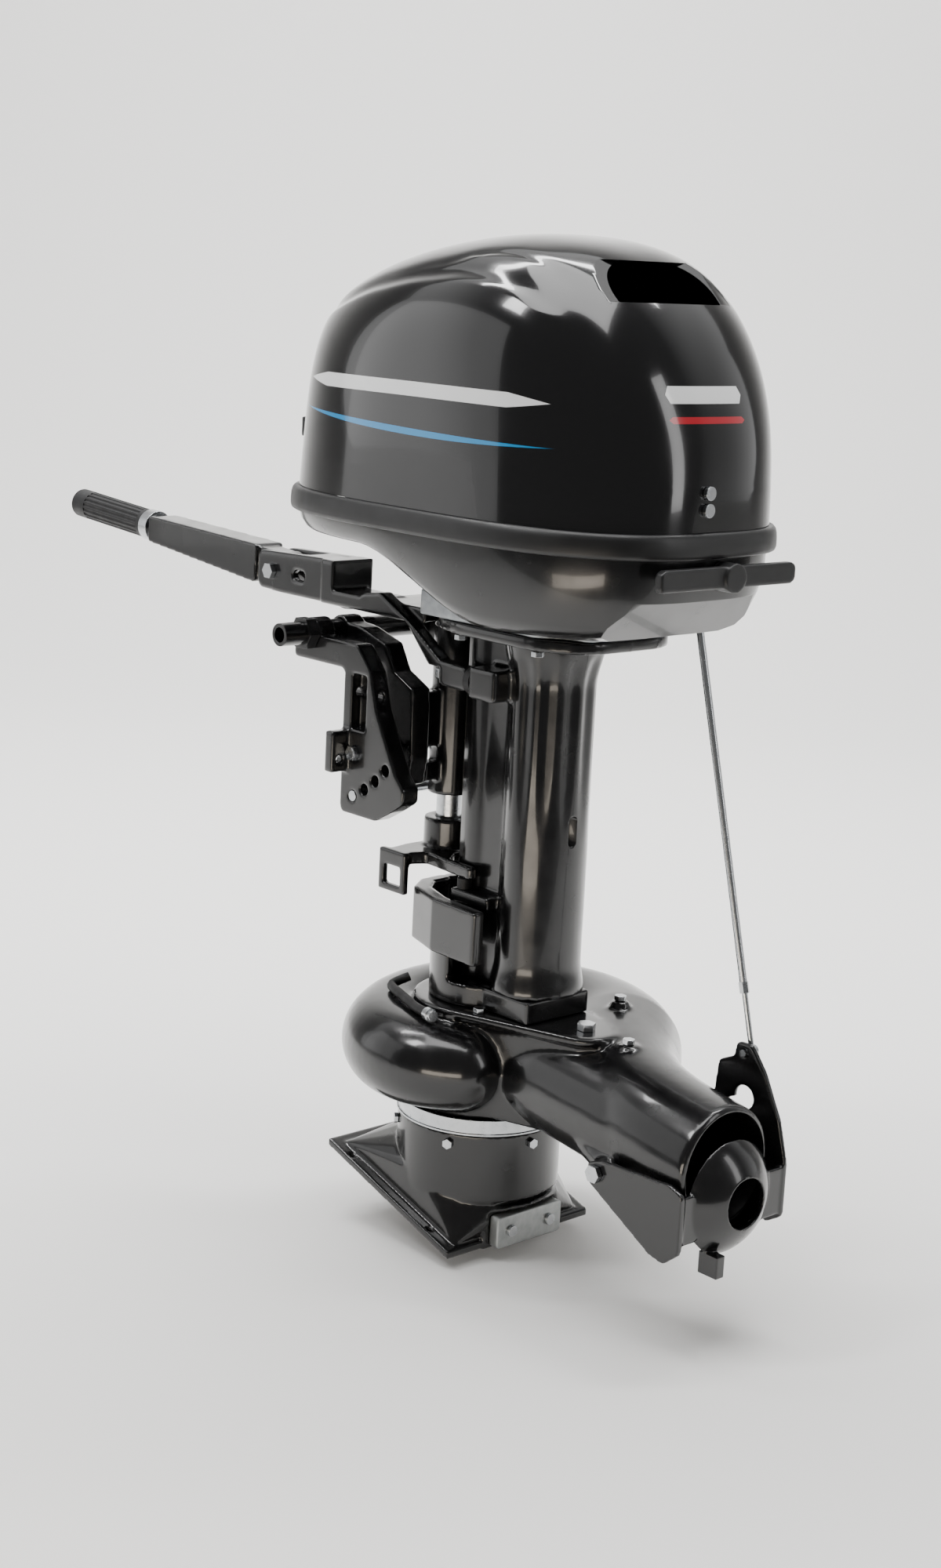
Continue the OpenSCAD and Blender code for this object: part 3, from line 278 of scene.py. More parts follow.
# %% [markdown]
# ## Black enamel on cast aluminium
# Most of the motor is sand-cast aluminium under sprayed and baked black enamel. The paint is
# glossy but not flat: it follows the casting's slow waves, carries a fine orange peel about
# 2 mm across, and lies a little duller in places where it was handled.
#
# It is made from one Principled shader with a coat. Two noises of real size bend the light:
# a 30 mm wave for the casting and a 2 mm one for the peel. Enamel has an IOR near 1.5.

# %% Enamel
def paint(name, colour, rough, spread, wave_mm, wave, peel_mm, peel, coat=0.0, coat_rough=0.05):
    """A sprayed or moulded dark finish: slow waves, a fine grain and uneven gloss."""
    made = bpy.data.materials.new(name)
    made.use_nodes = True
    tree = made.node_tree
    shader = tree.nodes["Principled BSDF"]
    shader.inputs["Base Color"].default_value = srgb(colour)
    shader.inputs["IOR"].default_value = 1.5
    shader.inputs["Coat Weight"].default_value = coat
    shader.inputs["Coat Roughness"].default_value = coat_rough
    place = add(tree, "TexCoord").outputs["Object"]
    slow = add(tree, "TexNoise", {"Vector": place, "Scale": 1 / (wave_mm * MM), "Detail": 2.0})
    fine = add(tree, "TexNoise", {"Vector": place, "Scale": 1 / (peel_mm * MM), "Detail": 3.0})
    gloss = add(tree, "MapRange", {"Value": slow.outputs["Fac"], "From Min": 0.3, "From Max": 0.7,
                                   "To Min": rough, "To Max": rough + spread})
    tree.links.new(gloss.outputs["Result"], shader.inputs["Roughness"])
    cast = add(tree, "Bump", {"Height": slow.outputs["Fac"], "Strength": wave,
                              "Distance": 1.2 * MM})
    grain = add(tree, "Bump", {"Height": fine.outputs["Fac"], "Strength": peel,
                               "Distance": 0.12 * MM, "Normal": cast.outputs["Normal"]})
    tree.links.new(grain.outputs["Normal"], shader.inputs["Normal"])
    return made


enamel = paint("black_enamel_on_casting", "#0d0d0e", 0.16, 0.12, 30, 0.12, 2.2, 0.25,
               coat=0.35, coat_rough=0.06)
plain_gelcoat = paint("black_gelcoat", "#0f0f10", 0.10, 0.06, 70, 0.06, 3.0, 0.05,
                      coat=0.5, coat_rough=0.03)
satin_abs = paint("satin_black_abs", "#151516", 0.38, 0.10, 25, 0.03, 0.9, 0.35)
moulded_rubber = paint("moulded_nitrile_rubber", "#121213", 0.52, 0.14, 12, 0.08, 0.8, 0.6)
print("dark finishes:", [m.name for m in (enamel, plain_gelcoat, satin_abs, moulded_rubber)])

# %% [markdown]
# ## Decal on the cowl
# The cowl's side carries a plain trim stripe, a white line over a blue one, printed under the
# clear coat. It is painted in the gelcoat's own colour: the surface point's place along the
# side gives the stripe's middle line and its taper, and a narrow ramp gives a clean edge.

# %% Gelcoat with the stripe
def stripe_mask(tree, x, z, start, end, height, fall, width, curve, blunt=4.0):
    """1 inside a stripe that falls as it runs aft; blunt 4 is a lens, more is a round-ended bar."""
    length = end - start
    along = add(tree, "MapRange", {"Value": x, "From Min": start, "From Max": end})
    t = along.outputs["Result"]
    bow = add(tree, "Math", {0: t, 1: add(tree, "Math", {0: 1.0, 1: t}, operation="SUBTRACT")
                             .outputs[0]}, operation="MULTIPLY").outputs[0]
    middle = add(tree, "Math", {0: t, 1: -fall * length, 2: height}, operation="MULTIPLY_ADD")
    bent = add(tree, "Math", {0: bow, 1: curve, 2: middle.outputs[0]}, operation="MULTIPLY_ADD")
    apart = add(tree, "Math", {0: z, 1: bent.outputs[0]}, operation="SUBTRACT").outputs[0]
    distance = add(tree, "Math", {0: apart}, operation="ABSOLUTE").outputs[0]
    taper = add(tree, "Math", {0: bow, 1: blunt * width}, operation="MULTIPLY").outputs[0]
    half = add(tree, "Math", {0: taper, 1: width}, operation="MINIMUM").outputs[0]
    inside = add(tree, "Math", {0: half, 1: distance}, operation="SUBTRACT").outputs[0]
    return add(tree, "MapRange", {"Value": inside, "From Min": 0.0, "From Max": 0.0004}).outputs[0]


STRIPE_START, STRIPE_END = -0.060, 0.345
cowl_gelcoat = plain_gelcoat.copy()
cowl_gelcoat.name = "black_gelcoat_with_stripe"
tree = cowl_gelcoat.node_tree
split = add(tree, "SeparateXYZ", {0: add(tree, "TexCoord").outputs["Object"]})
white_line = stripe_mask(tree, split.outputs[0], split.outputs[2],
                         -0.045, 0.335, 0.414, 0.0, 0.0075, 0.006, blunt=9.0)
blue_line = stripe_mask(tree, split.outputs[0], split.outputs[2],
                        STRIPE_START, STRIPE_END, 0.384, 0.03, 0.0036, -0.020)
over_black = add(tree, "Mix", {"Factor": blue_line, 6: srgb("#0f0f10"), 7: srgb("#1689c4")},
                 data_type="RGBA")
over_blue = add(tree, "Mix", {"Factor": white_line, 6: over_black.outputs[2],
                              7: srgb("#e9ebec")}, data_type="RGBA")
# two short bars on the stern, white over red
STERN_FROM = 0.34
stern = add(tree, "Math", {0: split.outputs[0], 1: STERN_FROM},
            operation="GREATER_THAN").outputs[0]
for height, half, colour in ((0.428, 0.0085, "#eceded"), (0.404, 0.0035, "#b3202c")):
    bar = stripe_mask(tree, split.outputs[1], split.outputs[2],
                      -0.062, 0.044, height, 0.0, half, 0.0, blunt=24.0)
    shown = add(tree, "Math", {0: bar, 1: stern}, operation="MULTIPLY").outputs[0]
    over_blue = add(tree, "Mix", {"Factor": shown, 6: over_blue.outputs[2], 7: srgb(colour)},
                    data_type="RGBA")
tree.links.new(over_blue.outputs[2], tree.nodes["Principled BSDF"].inputs["Base Color"])
print("stripe from", STRIPE_START, "to", STRIPE_END, "m along the side")

# %% [markdown]
# ## Bare metals
# Bolts and the link rod are drawn stainless steel: bright, with fine lines and soft edges. The
# anode is cast zinc alloy, dull and mottled because it corrodes by design. The hidden engine
# is sand-cast aluminium, pale grey with a grain of about a millimetre.

# %% Metals
def metal(name, colour, second, rough, spread, grain_mm, grain):
    made = bpy.data.materials.new(name)
    made.use_nodes = True
    tree = made.node_tree
    shader = tree.nodes["Principled BSDF"]
    shader.inputs["Metallic"].default_value = 1.0
    place = add(tree, "TexCoord").outputs["Object"]
    cloud = add(tree, "TexNoise", {"Vector": place, "Scale": 1 / (9 * MM), "Detail": 4.0})
    fine = add(tree, "TexNoise", {"Vector": place, "Scale": 1 / (grain_mm * MM), "Detail": 2.0})
    tone = add(tree, "Mix", {"Factor": cloud.outputs["Fac"], 6: srgb(colour), 7: srgb(second)},
               data_type="RGBA")
    tree.links.new(tone.outputs[2], shader.inputs["Base Color"])
    gloss = add(tree, "MapRange", {"Value": cloud.outputs["Fac"], "From Min": 0.3,
                                   "From Max": 0.7, "To Min": rough, "To Max": rough + spread})
    tree.links.new(gloss.outputs["Result"], shader.inputs["Roughness"])
    bump = add(tree, "Bump", {"Height": fine.outputs["Fac"], "Strength": grain,
                              "Distance": 0.1 * MM})
    tree.links.new(bump.outputs["Normal"], shader.inputs["Normal"])
    return made


stainless = metal("drawn_stainless_steel", "#c9cbcd", "#b4b7ba", 0.18, 0.12, 0.6, 0.15)
zinc = metal("cast_zinc_anode", "#bfc1c0", "#9fa3a3", 0.42, 0.16, 1.2, 0.7)
cast_aluminium = metal("sand_cast_aluminium", "#a9acae", "#8d9194", 0.45, 0.15, 1.0, 0.8)
nylon = paint("natural_nylon", "#d9d5c9", 0.42, 0.08, 20, 0.03, 1.0, 0.2)
print("metals:", [m.name for m in (stainless, zinc, cast_aluminium)])

# %% [markdown]
# ## Putting a finish on a piece
# Each new piece says which body it rides on and which frame nodes it stands for, and takes the
# material it is given.

# %% Place a piece
def place(piece, body, material, slot_name, *stands_for):
    piece.data.materials.clear()
    piece.data.materials.append(material)
    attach(piece, body)
    if stands_for:
        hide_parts(*stands_for)
    print(piece.name, "rides on", body, "with", len(piece.data.polygons), "faces")
    return piece


# %% [markdown]
# ## Top cowl
# A cowl is a shell of moulded resin, 4 mm thick. In plan it is a rounded rectangle, upright at
# the front and leaning in towards the stern. Its crown climbs from a low front to a high rear.
#
# It could be a subdivided box, but a loft gives exact control of the shoulder: each ring is
# the rim's outline, shrunk by a law that stays wide until just under the crown.

# %% Cowl shell
cowl_low, cowl_high, cowl_middle = extent("top_cowl")
COWL_X, COWL_Z = cowl_middle.x, cowl_low.z
HALF_X, HALF_Y = (cowl_high.x - cowl_low.x) / 2, (cowl_high.y - cowl_low.y) / 2
CROWN = cowl_high.z - 0.5
RISE = CROWN - COWL_Z
HIGHEST = 0.24  # where the crown is highest, as a share of the half length aft of the middle


def crown(x):
    u = (x - COWL_X) / (HALF_X + 8)
    forward = max(0.0, (HIGHEST - u) / (1 + HIGHEST))
    aft = max(0.0, (u - HIGHEST) / (1 - HIGHEST))
    return CROWN - RISE * (0.27 * forward ** 1.8 + 0.35 * aft ** 3.2)


def even_ring(ring, steps):
    """The same closed outline with its points the same distance apart."""
    closed = ring + ring[:1]
    run = [0.0]
    for p, q in zip(closed, closed[1:]):
        run.append(run[-1] + math.dist(p, q))
    spaced, k = [], 0
    for i in range(steps):
        want = run[-1] * i / steps
        while run[k + 1] < want:
            k += 1
        share = (want - run[k]) / max(run[k + 1] - run[k], 1e-9)
        spaced.append(tuple(a + (b - a) * share for a, b in zip(closed[k], closed[k + 1])))
    return spaced


def cowl_ring(h, steps=240):
    """The outline at height h, from 0 at the rim to 1 at the crown."""
    front = (1 - h ** 14) ** (1 / 3) * (1 - 0.05 * h)
    rear = (1 - h ** 3.4) ** (1 / 3)
    side = (1 - h ** 4.4) ** (1 / 2.8)
    ring = []
    for px, py, _ in squarcle(0, HALF_X, HALF_Y, 3 - 0.3 * h, 0, 1440):
        x = COWL_X + px * (front if px < 0 else rear)
        ring.append((x, py * side, COWL_Z + (crown(x) - COWL_Z) * h))
    return even_ring(ring, steps)


def curve_at(knots, x):
    """Height of a smooth line through (x, z) knots."""
    for (x0, z0), (x1, z1) in zip(knots, knots[1:]):
        if x <= x1:
            return z0 + (z1 - z0) * smoothstep(x0, x1, x) * 0.5 + (z1 - z0) * 0.5 * max(
                0.0, min(1.0, (x - x0) / (x1 - x0)))
    return knots[-1][1]


# Two fold lines run along each side of the crown; between them the skin dips a few millimetres.
# Each is given in degrees above level, seen from a line through the middle of the cowl.
FOLD_AXIS = 430.0
LOWER_FOLD = [(-140, 20.0), (-25, 24.9), (55, 30.2), (119, 33.1), (179, 34.8), (225, 34.7),
              (270, 31.7), (300, 27.7), (420, 14.0)]
UPPER_FOLD = [(-140, 26.0), (-4, 32.1), (66, 36.9), (137, 41.6), (193, 47.9), (235, 48.9),
              (278, 47.8), (301, 47.2), (420, 44.0)]
FOLD_DEPTH = 5.5


def fold_depth(x, y, z):
    fade = smoothstep(-125, -50, x) * (1 - smoothstep(262, 340, x))
    climb = math.degrees(math.atan2(z - FOLD_AXIS, abs(y) + 0.001))
    dip = smoothstep(-0.8, 4.2, climb - curve_at(LOWER_FOLD, x))
    return FOLD_DEPTH * fade * dip * (1 - smoothstep(-6.0, 5.0, climb - curve_at(UPPER_FOLD, x)))


STEPS_UP = 110
heights = [math.sin(math.radians(90 * k / STEPS_UP)) for k in range(STEPS_UP)] + [1.0]
outer = [cowl_ring(h) for h in heights]
cowl = loft("cowl_shell", outer, caps=(False, False))
for vertex in cowl.data.vertices:
    x, y, z = vertex.co / MM
    vertex.co -= vertex.normal * fold_depth(x, y, z) * MM
# the folds are eased by smoothing, which leaves the rim alone
KEEP_ABOVE_RIM = 40
COWL_WALL = 4
above_rim = cowl.vertex_groups.new(name="above_rim")
above_rim.add([v.index for v in cowl.data.vertices if v.co.z > (COWL_Z + KEEP_ABOVE_RIM) * MM],
              1.0, "ADD")
modifier(cowl, "SMOOTH", factor=0.5, iterations=8, vertex_group="above_rim")
modifier(cowl, "SOLIDIFY", thickness=COWL_WALL * MM, offset=-1)
bake_modifiers(cowl)
print("cowl", round(HALF_X * 2), "x", round(HALF_Y * 2), "x", round(RISE), "mm")

# %% [markdown]
# ## Air scoop
# The engine breathes through a wide mouth under the cowl's rear crown. Its front edge slants,
# its sill is level, and the crown reaches over it as a visor. One wedge, cut away with a
# boolean, makes all three edges at once, and a narrow bevel breaks them.

# %% Cut the scoop
SCOOP_X, SCOOP_Z, SCOOP_H = COWL_X + 150, CROWN - 64, 40
PAST = 400  # far enough to run out of the shell
wedge = [(SCOOP_X, SCOOP_Z + SCOOP_H), (SCOOP_X + 42, SCOOP_Z), (COWL_X + PAST, SCOOP_Z + 6),
         (COWL_X + PAST, SCOOP_Z + 30), (SCOOP_X + 56, SCOOP_Z + SCOOP_H)]
cut(cowl, loft("scoop_cutter", [[(x, y, z) for x, z in wedge] for y in (-PAST, PAST)]))

# notch for the starter's handle at the front
_, handle_high, handle_middle = extent("starter_handle")
NOTCH_HALF = 10
NOTCH_PORT, NOTCH_STARBOARD = handle_middle.y - NOTCH_HALF, handle_middle.y + NOTCH_HALF
cut(cowl, box_piece("notch_cutter", (cowl_low.x - 30, NOTCH_PORT, COWL_Z - 35),
                    (cowl_low.x + 50, NOTCH_STARBOARD, handle_high.z - 1)))
modifier(cowl, "BEVEL", width=1.1 * MM, segments=3, limit_method="ANGLE",
         angle_limit=math.radians(50))
modifier(cowl, "WEIGHTED_NORMAL", keep_sharp=True)
place(cowl, "cowl", cowl_gelcoat, "gloss_cowl", "top_cowl")

# %% [markdown]
# ## Rim band
# A satin moulding runs round the joint. Its section is a soft D, 26 mm tall, that stands a few
# millimetres proud of both cowls. The section is swept round the same outline. Each point of it
# is how far it lies inside the band's outer face, and how far above its foot.

# %% Rim band
rim_low, rim_high, _ = extent("rim_seal")
RIM_X, RIM_Y = (rim_high.x - rim_low.x) / 2, (rim_high.y - rim_low.y) / 2
section = [(9, 0.3), (2.6, 0.3), (1.0, 1.4), (0, 5), (0, 12), (0.4, 18), (1.6, 22.5),
           (3.6, 25.0), (6, 25.8), (9.5, 25.4), (11, 22), (11, 4)]
rim_rings = [squarcle(COWL_X, RIM_X - inset, RIM_Y - inset, 3, rim_low.z + up_by, 160)
             for inset, up_by in section]
rim_rings.append(rim_rings[0])
rim = loft("rim_band", rim_rings, caps=(False, False))
cut(rim, box_piece("rim_notch", (rim_low.x - 22, NOTCH_PORT, rim_low.z - 20),
                   (rim_low.x + 28, NOTCH_STARBOARD, rim_high.z + 25)))
modifier(rim, "BEVEL", width=0.5 * MM, segments=2, limit_method="ANGLE",
         angle_limit=math.radians(50))
place(rim, "cowl", satin_abs, "black_plastic", "rim_seal")

# %% [markdown]
# ## Lower cowl
# Under the rim the lower cowl is shallow at the front and drops to a deep body at the stern. It
# is one loft: the same outline steps down and in, and how far it steps down depends on how far
# aft it is. The stern corner is planed off for the carrying grip.

# %% Lower cowl
pan_low, pan_high, pan_middle = extent("lower_cowl")
PAN_X, PAN_Y = (pan_high.x - pan_low.x) / 2, (pan_high.y - pan_low.y) / 2
PAN_TOP, PAN_BOTTOM = rim_low.z + 2, pan_low.z
FRONT_DEPTH = 25
KEEL_X = COWL_X + 109  # the floor is deepest from here to the stern


def pan_drop(x):
    """How far the floor lies below the rim."""
    deep = PAN_TOP - PAN_BOTTOM
    return FRONT_DEPTH + (deep - FRONT_DEPTH) * smoothstep(KEEL_X - 202, KEEL_X, x)


def pan_ring(share, pull, gather):
    """The outline at a share of the depth, pulled in all round and gathered to the keel."""
    ring = []
    for x, y, _ in squarcle(pan_middle.x, PAN_X, PAN_Y, 3, 0, 128):
        lean = 1 + 1.1 * smoothstep(COWL_X - 3, COWL_X + 247, x)
        nx, ny = (x - pan_middle.x) / PAN_X, y / PAN_Y
        px = x - nx / math.hypot(nx, ny) * pull * lean
        py = y - ny / math.hypot(nx, ny) * pull * lean * 0.8
        px, py = px + (KEEL_X - px) * gather, py * (1 - gather)
        ring.append((px, py, PAN_TOP - pan_drop(px) * share))
    return ring


TURN_IN = 34
pan_rings = [pan_ring(share, pull, 0) for share, pull in
             ((0, 0), (0.18, 0.2), (0.5, 3), (0.8, 9), (0.92, 14), (0.985, 22), (1, TURN_IN))]
pan_rings += [pan_ring(1, TURN_IN, gather) for gather in (0.12, 0.3, 0.55, 0.8, 0.97)]
pan = loft("lower_cowl_shell", pan_rings)
STERN = rim_high.x
GRIP_TOP, GRIP_FOOT = 92, 150  # half widths of the planed facet
chamfer = [[(STERN + 40, s * GRIP_TOP, PAN_BOTTOM + 44), (STERN - 26, s * GRIP_TOP, PAN_BOTTOM + 44),
            (STERN - 88, s * GRIP_FOOT, PAN_BOTTOM - 20),
            (STERN + 40, s * GRIP_FOOT, PAN_BOTTOM - 20)] for s in (-1, 1)]
cut(pan, loft("grip_cutter", chamfer))
modifier(pan, "BEVEL", width=2.0 * MM, segments=3, limit_method="ANGLE",
         angle_limit=math.radians(32))
modifier(pan, "WEIGHTED_NORMAL", keep_sharp=True)
place(pan, "motor", enamel, "black_paint", "lower_cowl")

# %% [markdown]
# ## Pump casing
# The pump is one casting: a scroll that grows as it winds round the shaft, a drop-shaped deck
# that bolts to the leg, and an outlet pipe. A foundry blends all of these with fillets.
#
# Booleans would leave hard creases between them. Instead the shapes are laid over each other
# in one mesh, a voxel remesh welds them, and smoothing draws the fillets, as a patternmaker
# does with wax.

# %% Shapes laid over each other
SHAFT_X = extent("driveshaft")[2].x
DECK_Z = extent("pump_neck")[0].z
SCROLL_Z = DECK_Z - 63
OUTLET = Vector((extent("jet_casing")[1].x - 1, 0, SCROLL_Z - 28))
OUTLET_R, SCROLL_START_R, SCROLL_END_R = 66, 47, 71
SCROLL_STEPS, OUTLET_STEPS, START_CAP = 48, 24, 8


def sweep(path, radii, sides=40, facing=None):
    """Rings along a path. facing fixes the last ring's direction."""
    rings = []
    for k, (at, r) in enumerate(zip(path, radii)):
        ahead = path[min(k + 1, len(path) - 1)] - path[max(k - 1, 0)]
        w = (facing if facing and k == len(path) - 1 else ahead).normalized()
        u = w.cross(Vector((0, 0, 1))).normalized()
        v = w.cross(u)
        rings.append([at + r * (u * math.cos(2 * math.pi * i / sides)
                                + v * math.sin(2 * math.pi * i / sides)) for i in range(sides)])
    return rings


def scroll_point(t):
    """The scroll's middle line, winding out from the shaft as t runs from 0 to 1."""
    angle, r = math.radians(300 - 253 * t), 86 + 68 * t
    return Vector((SHAFT_X + r * math.cos(angle), r * math.sin(angle), SCROLL_Z))


points, faces = [], []


def lay(rings):
    faces.extend(rings_to_faces(rings, first=len(points)))
    points.extend(p for ring in rings for p in ring)


# the scroll starts in a round end, winds out and leaves along a cubic curve
path, radii = [], []
tangent = (scroll_point(0) - scroll_point(0.01)).normalized()
for k in range(START_CAP):
    a = math.radians(90 * (1 - k / START_CAP))
    path.append(scroll_point(0) + tangent * SCROLL_START_R * math.sin(a))
    radii.append(max(0.5, SCROLL_START_R * math.cos(a)))
for k in range(SCROLL_STEPS + 1):
    t = k / SCROLL_STEPS
    path.append(scroll_point(t))
    radii.append(SCROLL_START_R + (SCROLL_END_R - SCROLL_START_R) * t)
end = scroll_point(1)
first_pull = Vector((end.x + 92, 10, SCROLL_Z - 6))
second_pull = Vector((end.x + 132, 0, OUTLET.z + 14))
for k in range(1, OUTLET_STEPS + 1):
    t = k / OUTLET_STEPS
    path.append(end * (1 - t) ** 3 + first_pull * 3 * t * (1 - t) ** 2
                + second_pull * 3 * t * t * (1 - t) + OUTLET * t ** 3)
    radii.append(SCROLL_END_R * (1 - t) + OUTLET_R * t)
lay(sweep(path, radii, facing=Vector((1, 0, 0))))


def disc(centre, r, z, sides=48):
    return [(centre[0] + r * math.cos(2 * math.pi * i / sides),
             centre[1] + r * math.sin(2 * math.pi * i / sides), z) for i in range(sides)]


def drop(r, tail_r, tail_x, z, sides=48):
    """Outline round the shaft and a smaller circle aft of it."""
    lean = math.acos((r - tail_r) / tail_x)
    ring = []
    for i in range(sides):
        a = -math.pi + 2 * math.pi * i / sides
        x, radius = (tail_x, tail_r) if abs(a) < lean else (0, r)
        ring.append((SHAFT_X + x + radius * math.cos(a), radius * math.sin(a), z))
    return ring


# the drop-shaped hub and its deck, the ring over the liner, and the web under the pipe
TAIL_X = 160
lay([drop(75, 26, TAIL_X, DECK_Z - below) for below in (117, 60, 0)])
lay([drop(82, 33, TAIL_X, DECK_Z - below) for below in (10, 0)])
lay([disc((SHAFT_X, 0), 91, SCROLL_Z - below) for below in (55, 38, 16, 3)])
hub_path = [Vector((SHAFT_X + x, 0, SCROLL_Z - below))
            for x, below in ((60, 4), (120, 6), (240, 16))] + [OUTLET]
lay(sweep(hub_path, [50, 56, 61, OUTLET_R], facing=Vector((1, 0, 0))))

# the gate turns on a boss each side, and its bolts stand out from them
BOLT_OUT, BOSS_R = 12.8, 13
pivots_low, pivots_high, PIVOT = extent("gate_pivots")
for s, bolt_end in ((-1, -pivots_low.y), (1, pivots_high.y)):
    strut = [Vector((PIVOT.x - 86, s * 30, PIVOT.z + 28)),
             Vector((PIVOT.x - 40, s * 46, PIVOT.z + 10)), Vector((PIVOT.x - 4, s * 56, PIVOT.z))]
    lay(sweep(strut, [16, 14, 12], sides=20))
    boss = [Vector((PIVOT.x, s * y, PIVOT.z)) for y in (44, 60, bolt_end - BOLT_OUT)]
    lay(sweep(boss, [BOSS_R] * 3, sides=24))

# bolt lugs on the crown of the pipe, a hair under the heads
for x, y, above in ((134, 78, 75.8), (215, 9, 60.8)):
    lay([disc((SHAFT_X + x, y), 11, SCROLL_Z + above - below, 20) for below in (40, 5, 0)])

casing = mesh_piece("pump_casing", points, faces)
modifier(casing, "REMESH", mode="VOXEL", voxel_size=2.6 * MM, use_smooth_shade=True)
modifier(casing, "SMOOTH", factor=0.5, iterations=14)
bake_modifiers(casing)
print("pump casing welded:", len(casing.data.polygons), "faces")

# %% [markdown]
# The outlet is bored after the smoothing, so that its machined edge stays crisp.

# %% Bore the outlet
bore_path = [Vector((OUTLET.x - before, 0, OUTLET.z + above))
             for before, above in ((106, 5), (61, 4), (-19, 0))]
bore = sweep(bore_path, [52, 58, 60], sides=64)
cut(casing, loft("outlet_bore", bore))
modifier(casing, "BEVEL", width=1.2 * MM, segments=2, limit_method="ANGLE",
         angle_limit=math.radians(48))
place(casing, "motor", enamel, "black_paint", "jet_casing")

# %% [markdown]
# ## Driveshaft housing
# The leg is a second casting: a round exhaust column behind a narrower shaft tube, with three
# shallow flutes down each flank that stiffen the wall. It widens to a flange at the top and to
# a foot at the pump. The flutes fade out on the way down, as the wall grows thicker.

# %% Housing
points, faces = [], []
leg_low, leg_high, leg_middle = extent("driveshaft_housing")
COLUMN_X, COLUMN_R, TUBE_R = SHAFT_X + 81, 42, 38
FLUTES, FLUTE_HALF, FLUTE_DEPTH = (14, 46, 78), 11, 3.4  # places and half width in degrees


def column_ring(z, sides=144):
    """The column's outline at z, with flutes that fade out at both ends."""
    top = leg_high.z
    flare = 9 * smoothstep(top - 66, top - 13, z)
    flare += 5 * (1 - smoothstep(leg_low.z, leg_low.z + 34, z))
    fade = FLUTE_DEPTH * smoothstep(top - 261, top - 111, z)
    fade *= 1 - smoothstep(top - 39, top - 21, z)
    ring = []
    for i in range(sides):
        a = 2 * math.pi * i / sides
        turn = math.degrees(abs(math.atan2(math.sin(a), math.cos(a))))
        groove = max(0.0, max(1 - abs(turn - at) / FLUTE_HALF for at in FLUTES))
        r = COLUMN_R + flare - fade * groove ** 0.7
        ring.append((COLUMN_X + r * math.cos(a), r * math.sin(a) + 8 * math.sin(a), z))
    return ring


LEVELS = 60
lay([column_ring(leg_low.z + (leg_high.z - leg_low.z) * k / LEVELS) for k in range(LEVELS + 1)])
lay([disc((SHAFT_X, 0), TUBE_R, z) for z in (leg_low.z, leg_middle.z, leg_high.z)])


def block(x0, x1, half, z0, z1):
    lay([[(x, y, z) for x, y in ((x0, -half), (x1, -half), (x1, half), (x0, half))]
         for z in (z0, z1)])


# the web between the two tubes, the pads of the upper and lower mounts, and the top flange
block(SHAFT_X - 20, COLUMN_X, 34, leg_low.z, leg_high.z)
block(SHAFT_X + 23, SHAFT_X + 63, 72, leg_high.z - 83, leg_high.z - 49)
block(SHAFT_X - 7, SHAFT_X + 53, 56, leg_low.z + 89, leg_low.z + 103)
FLANGE_X, FLANGE_Y, FLANGE_T = (leg_high.x - leg_low.x) / 2, leg_high.y - 2, 13
lay([squarcle(leg_middle.x, FLANGE_X, FLANGE_Y, 3.4, z, 96)
     for z in (leg_high.z - FLANGE_T, leg_high.z)])
leg = mesh_piece("leg_casting", points, faces)
modifier(leg, "REMESH", mode="VOXEL", voxel_size=2.3 * MM, use_smooth_shade=True)
modifier(leg, "SMOOTH", factor=0.5, iterations=8)
bake_modifiers(leg)

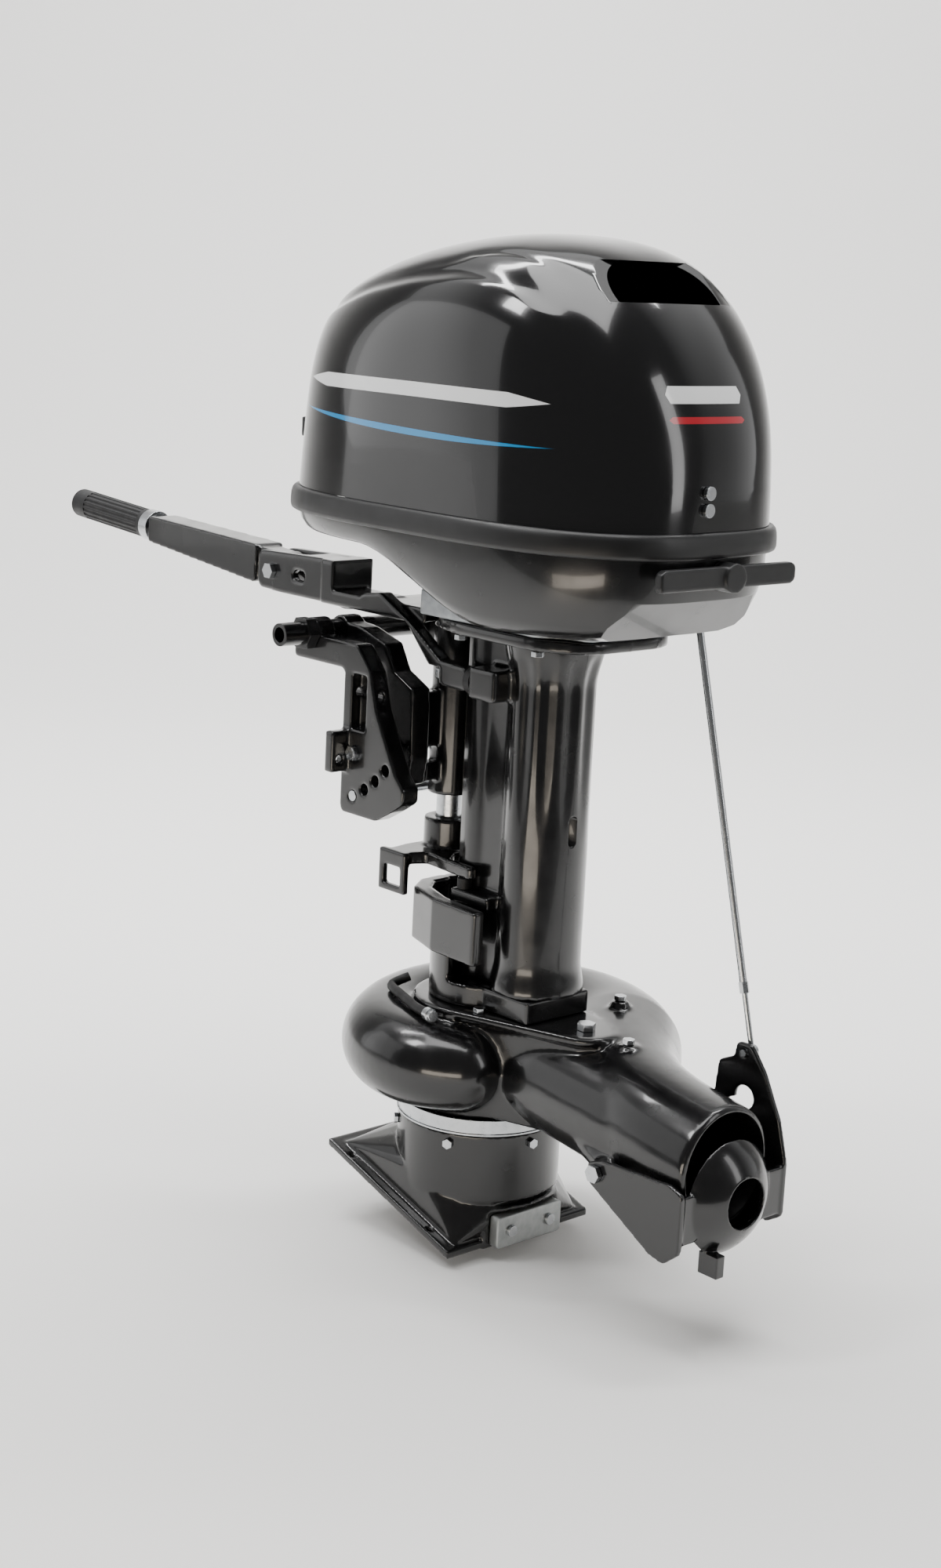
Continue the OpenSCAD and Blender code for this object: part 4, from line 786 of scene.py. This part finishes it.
# the water outlet in the column's aft face: a slot with round ends
SLOT_R, SLOT_REACH, SLOT_Y, SLOT_Z, SLOT_SIDES = 6, 11, -1, leg_low.z + 186, 24
slot_outline = []
for i in range(SLOT_SIDES):
    a = 2 * math.pi * (i + 0.5) / SLOT_SIDES
    slot_outline.append((SLOT_Y + SLOT_R * math.cos(a),
                         SLOT_Z + math.copysign(SLOT_REACH, math.sin(a)) + SLOT_R * math.sin(a)))
cut(leg, loft("slot_cutter", [[(COLUMN_X + out, y, z) for y, z in slot_outline]
                              for out in (30, 70)]))
place(leg, "motor", enamel, "black_paint", "driveshaft_housing")

# %% [markdown]
# ## Cast and moulded pieces kept from the frame
# Every casting has rounded edges, because sand can't hold a sharp one. The frame's solids are
# exact but knife-edged. A fine voxel remesh and a few smoothing passes round each edge by a
# millimetre or two without moving any face, so each solid stays where the joints need it.
# Bolts, tubes and screws are machined: those get a narrow bevel instead.

# %% Round the castings, bevel the machined pieces
# voxel size in millimetres for each casting: smaller keeps finer edges
CASTINGS = {
    "clamp_bracket_port": 1.7, "clamp_bracket_starboard": 1.7, "swivel_bracket": 1.8,
    "steering_arm": 1.7, "lower_yoke": 1.7, "lower_mount_covers": 1.7,
    "pump_neck": 2.0, "intake_casing": 1.8,
    "reverse_gate": 1.5, "tiller_arm": 1.6, "cowl_latch": 1.5, "friction_lever": 1.4,
    "starter_handle": 1.4, "engine_base": 2.2, "anode": 1.2,
}
FINISH = {
    "black_paint": enamel, "gloss_cowl": plain_gelcoat, "black_plastic": satin_abs,
    "white_plastic": nylon, "rubber": moulded_rubber, "stainless": stainless, "zinc": zinc,
    "cast_aluminium": cast_aluminium,
}
slots = {s["node"]: s["material_slot"] for s in frame["record"]["subparts"]}
kept = 0
for name, solid in nodes.items():
    if solid.hide_render:
        continue
    finish = FINISH[slots[name]]
    solid.data.materials.clear()
    solid.data.materials.append(finish)
    solid.data.polygons.foreach_set("use_smooth", [True] * len(solid.data.polygons))
    modifier(solid, "WELD", merge_threshold=0.01 * MM)
    if name in CASTINGS:
        modifier(solid, "REMESH", mode="VOXEL", voxel_size=CASTINGS[name] * MM,
                 use_smooth_shade=True)
        modifier(solid, "SMOOTH", factor=0.5, iterations=7)
    else:
        modifier(solid, "DECIMATE", decimate_type="DISSOLVE", angle_limit=math.radians(1.5))
        modifier(solid, "BEVEL", width=0.5 * MM, segments=2, limit_method="ANGLE",
                 angle_limit=math.radians(38))
        modifier(solid, "WEIGHTED_NORMAL", keep_sharp=True)
    kept += 1
print(kept, "frame solids finished,", len(CASTINGS), "of them as castings")
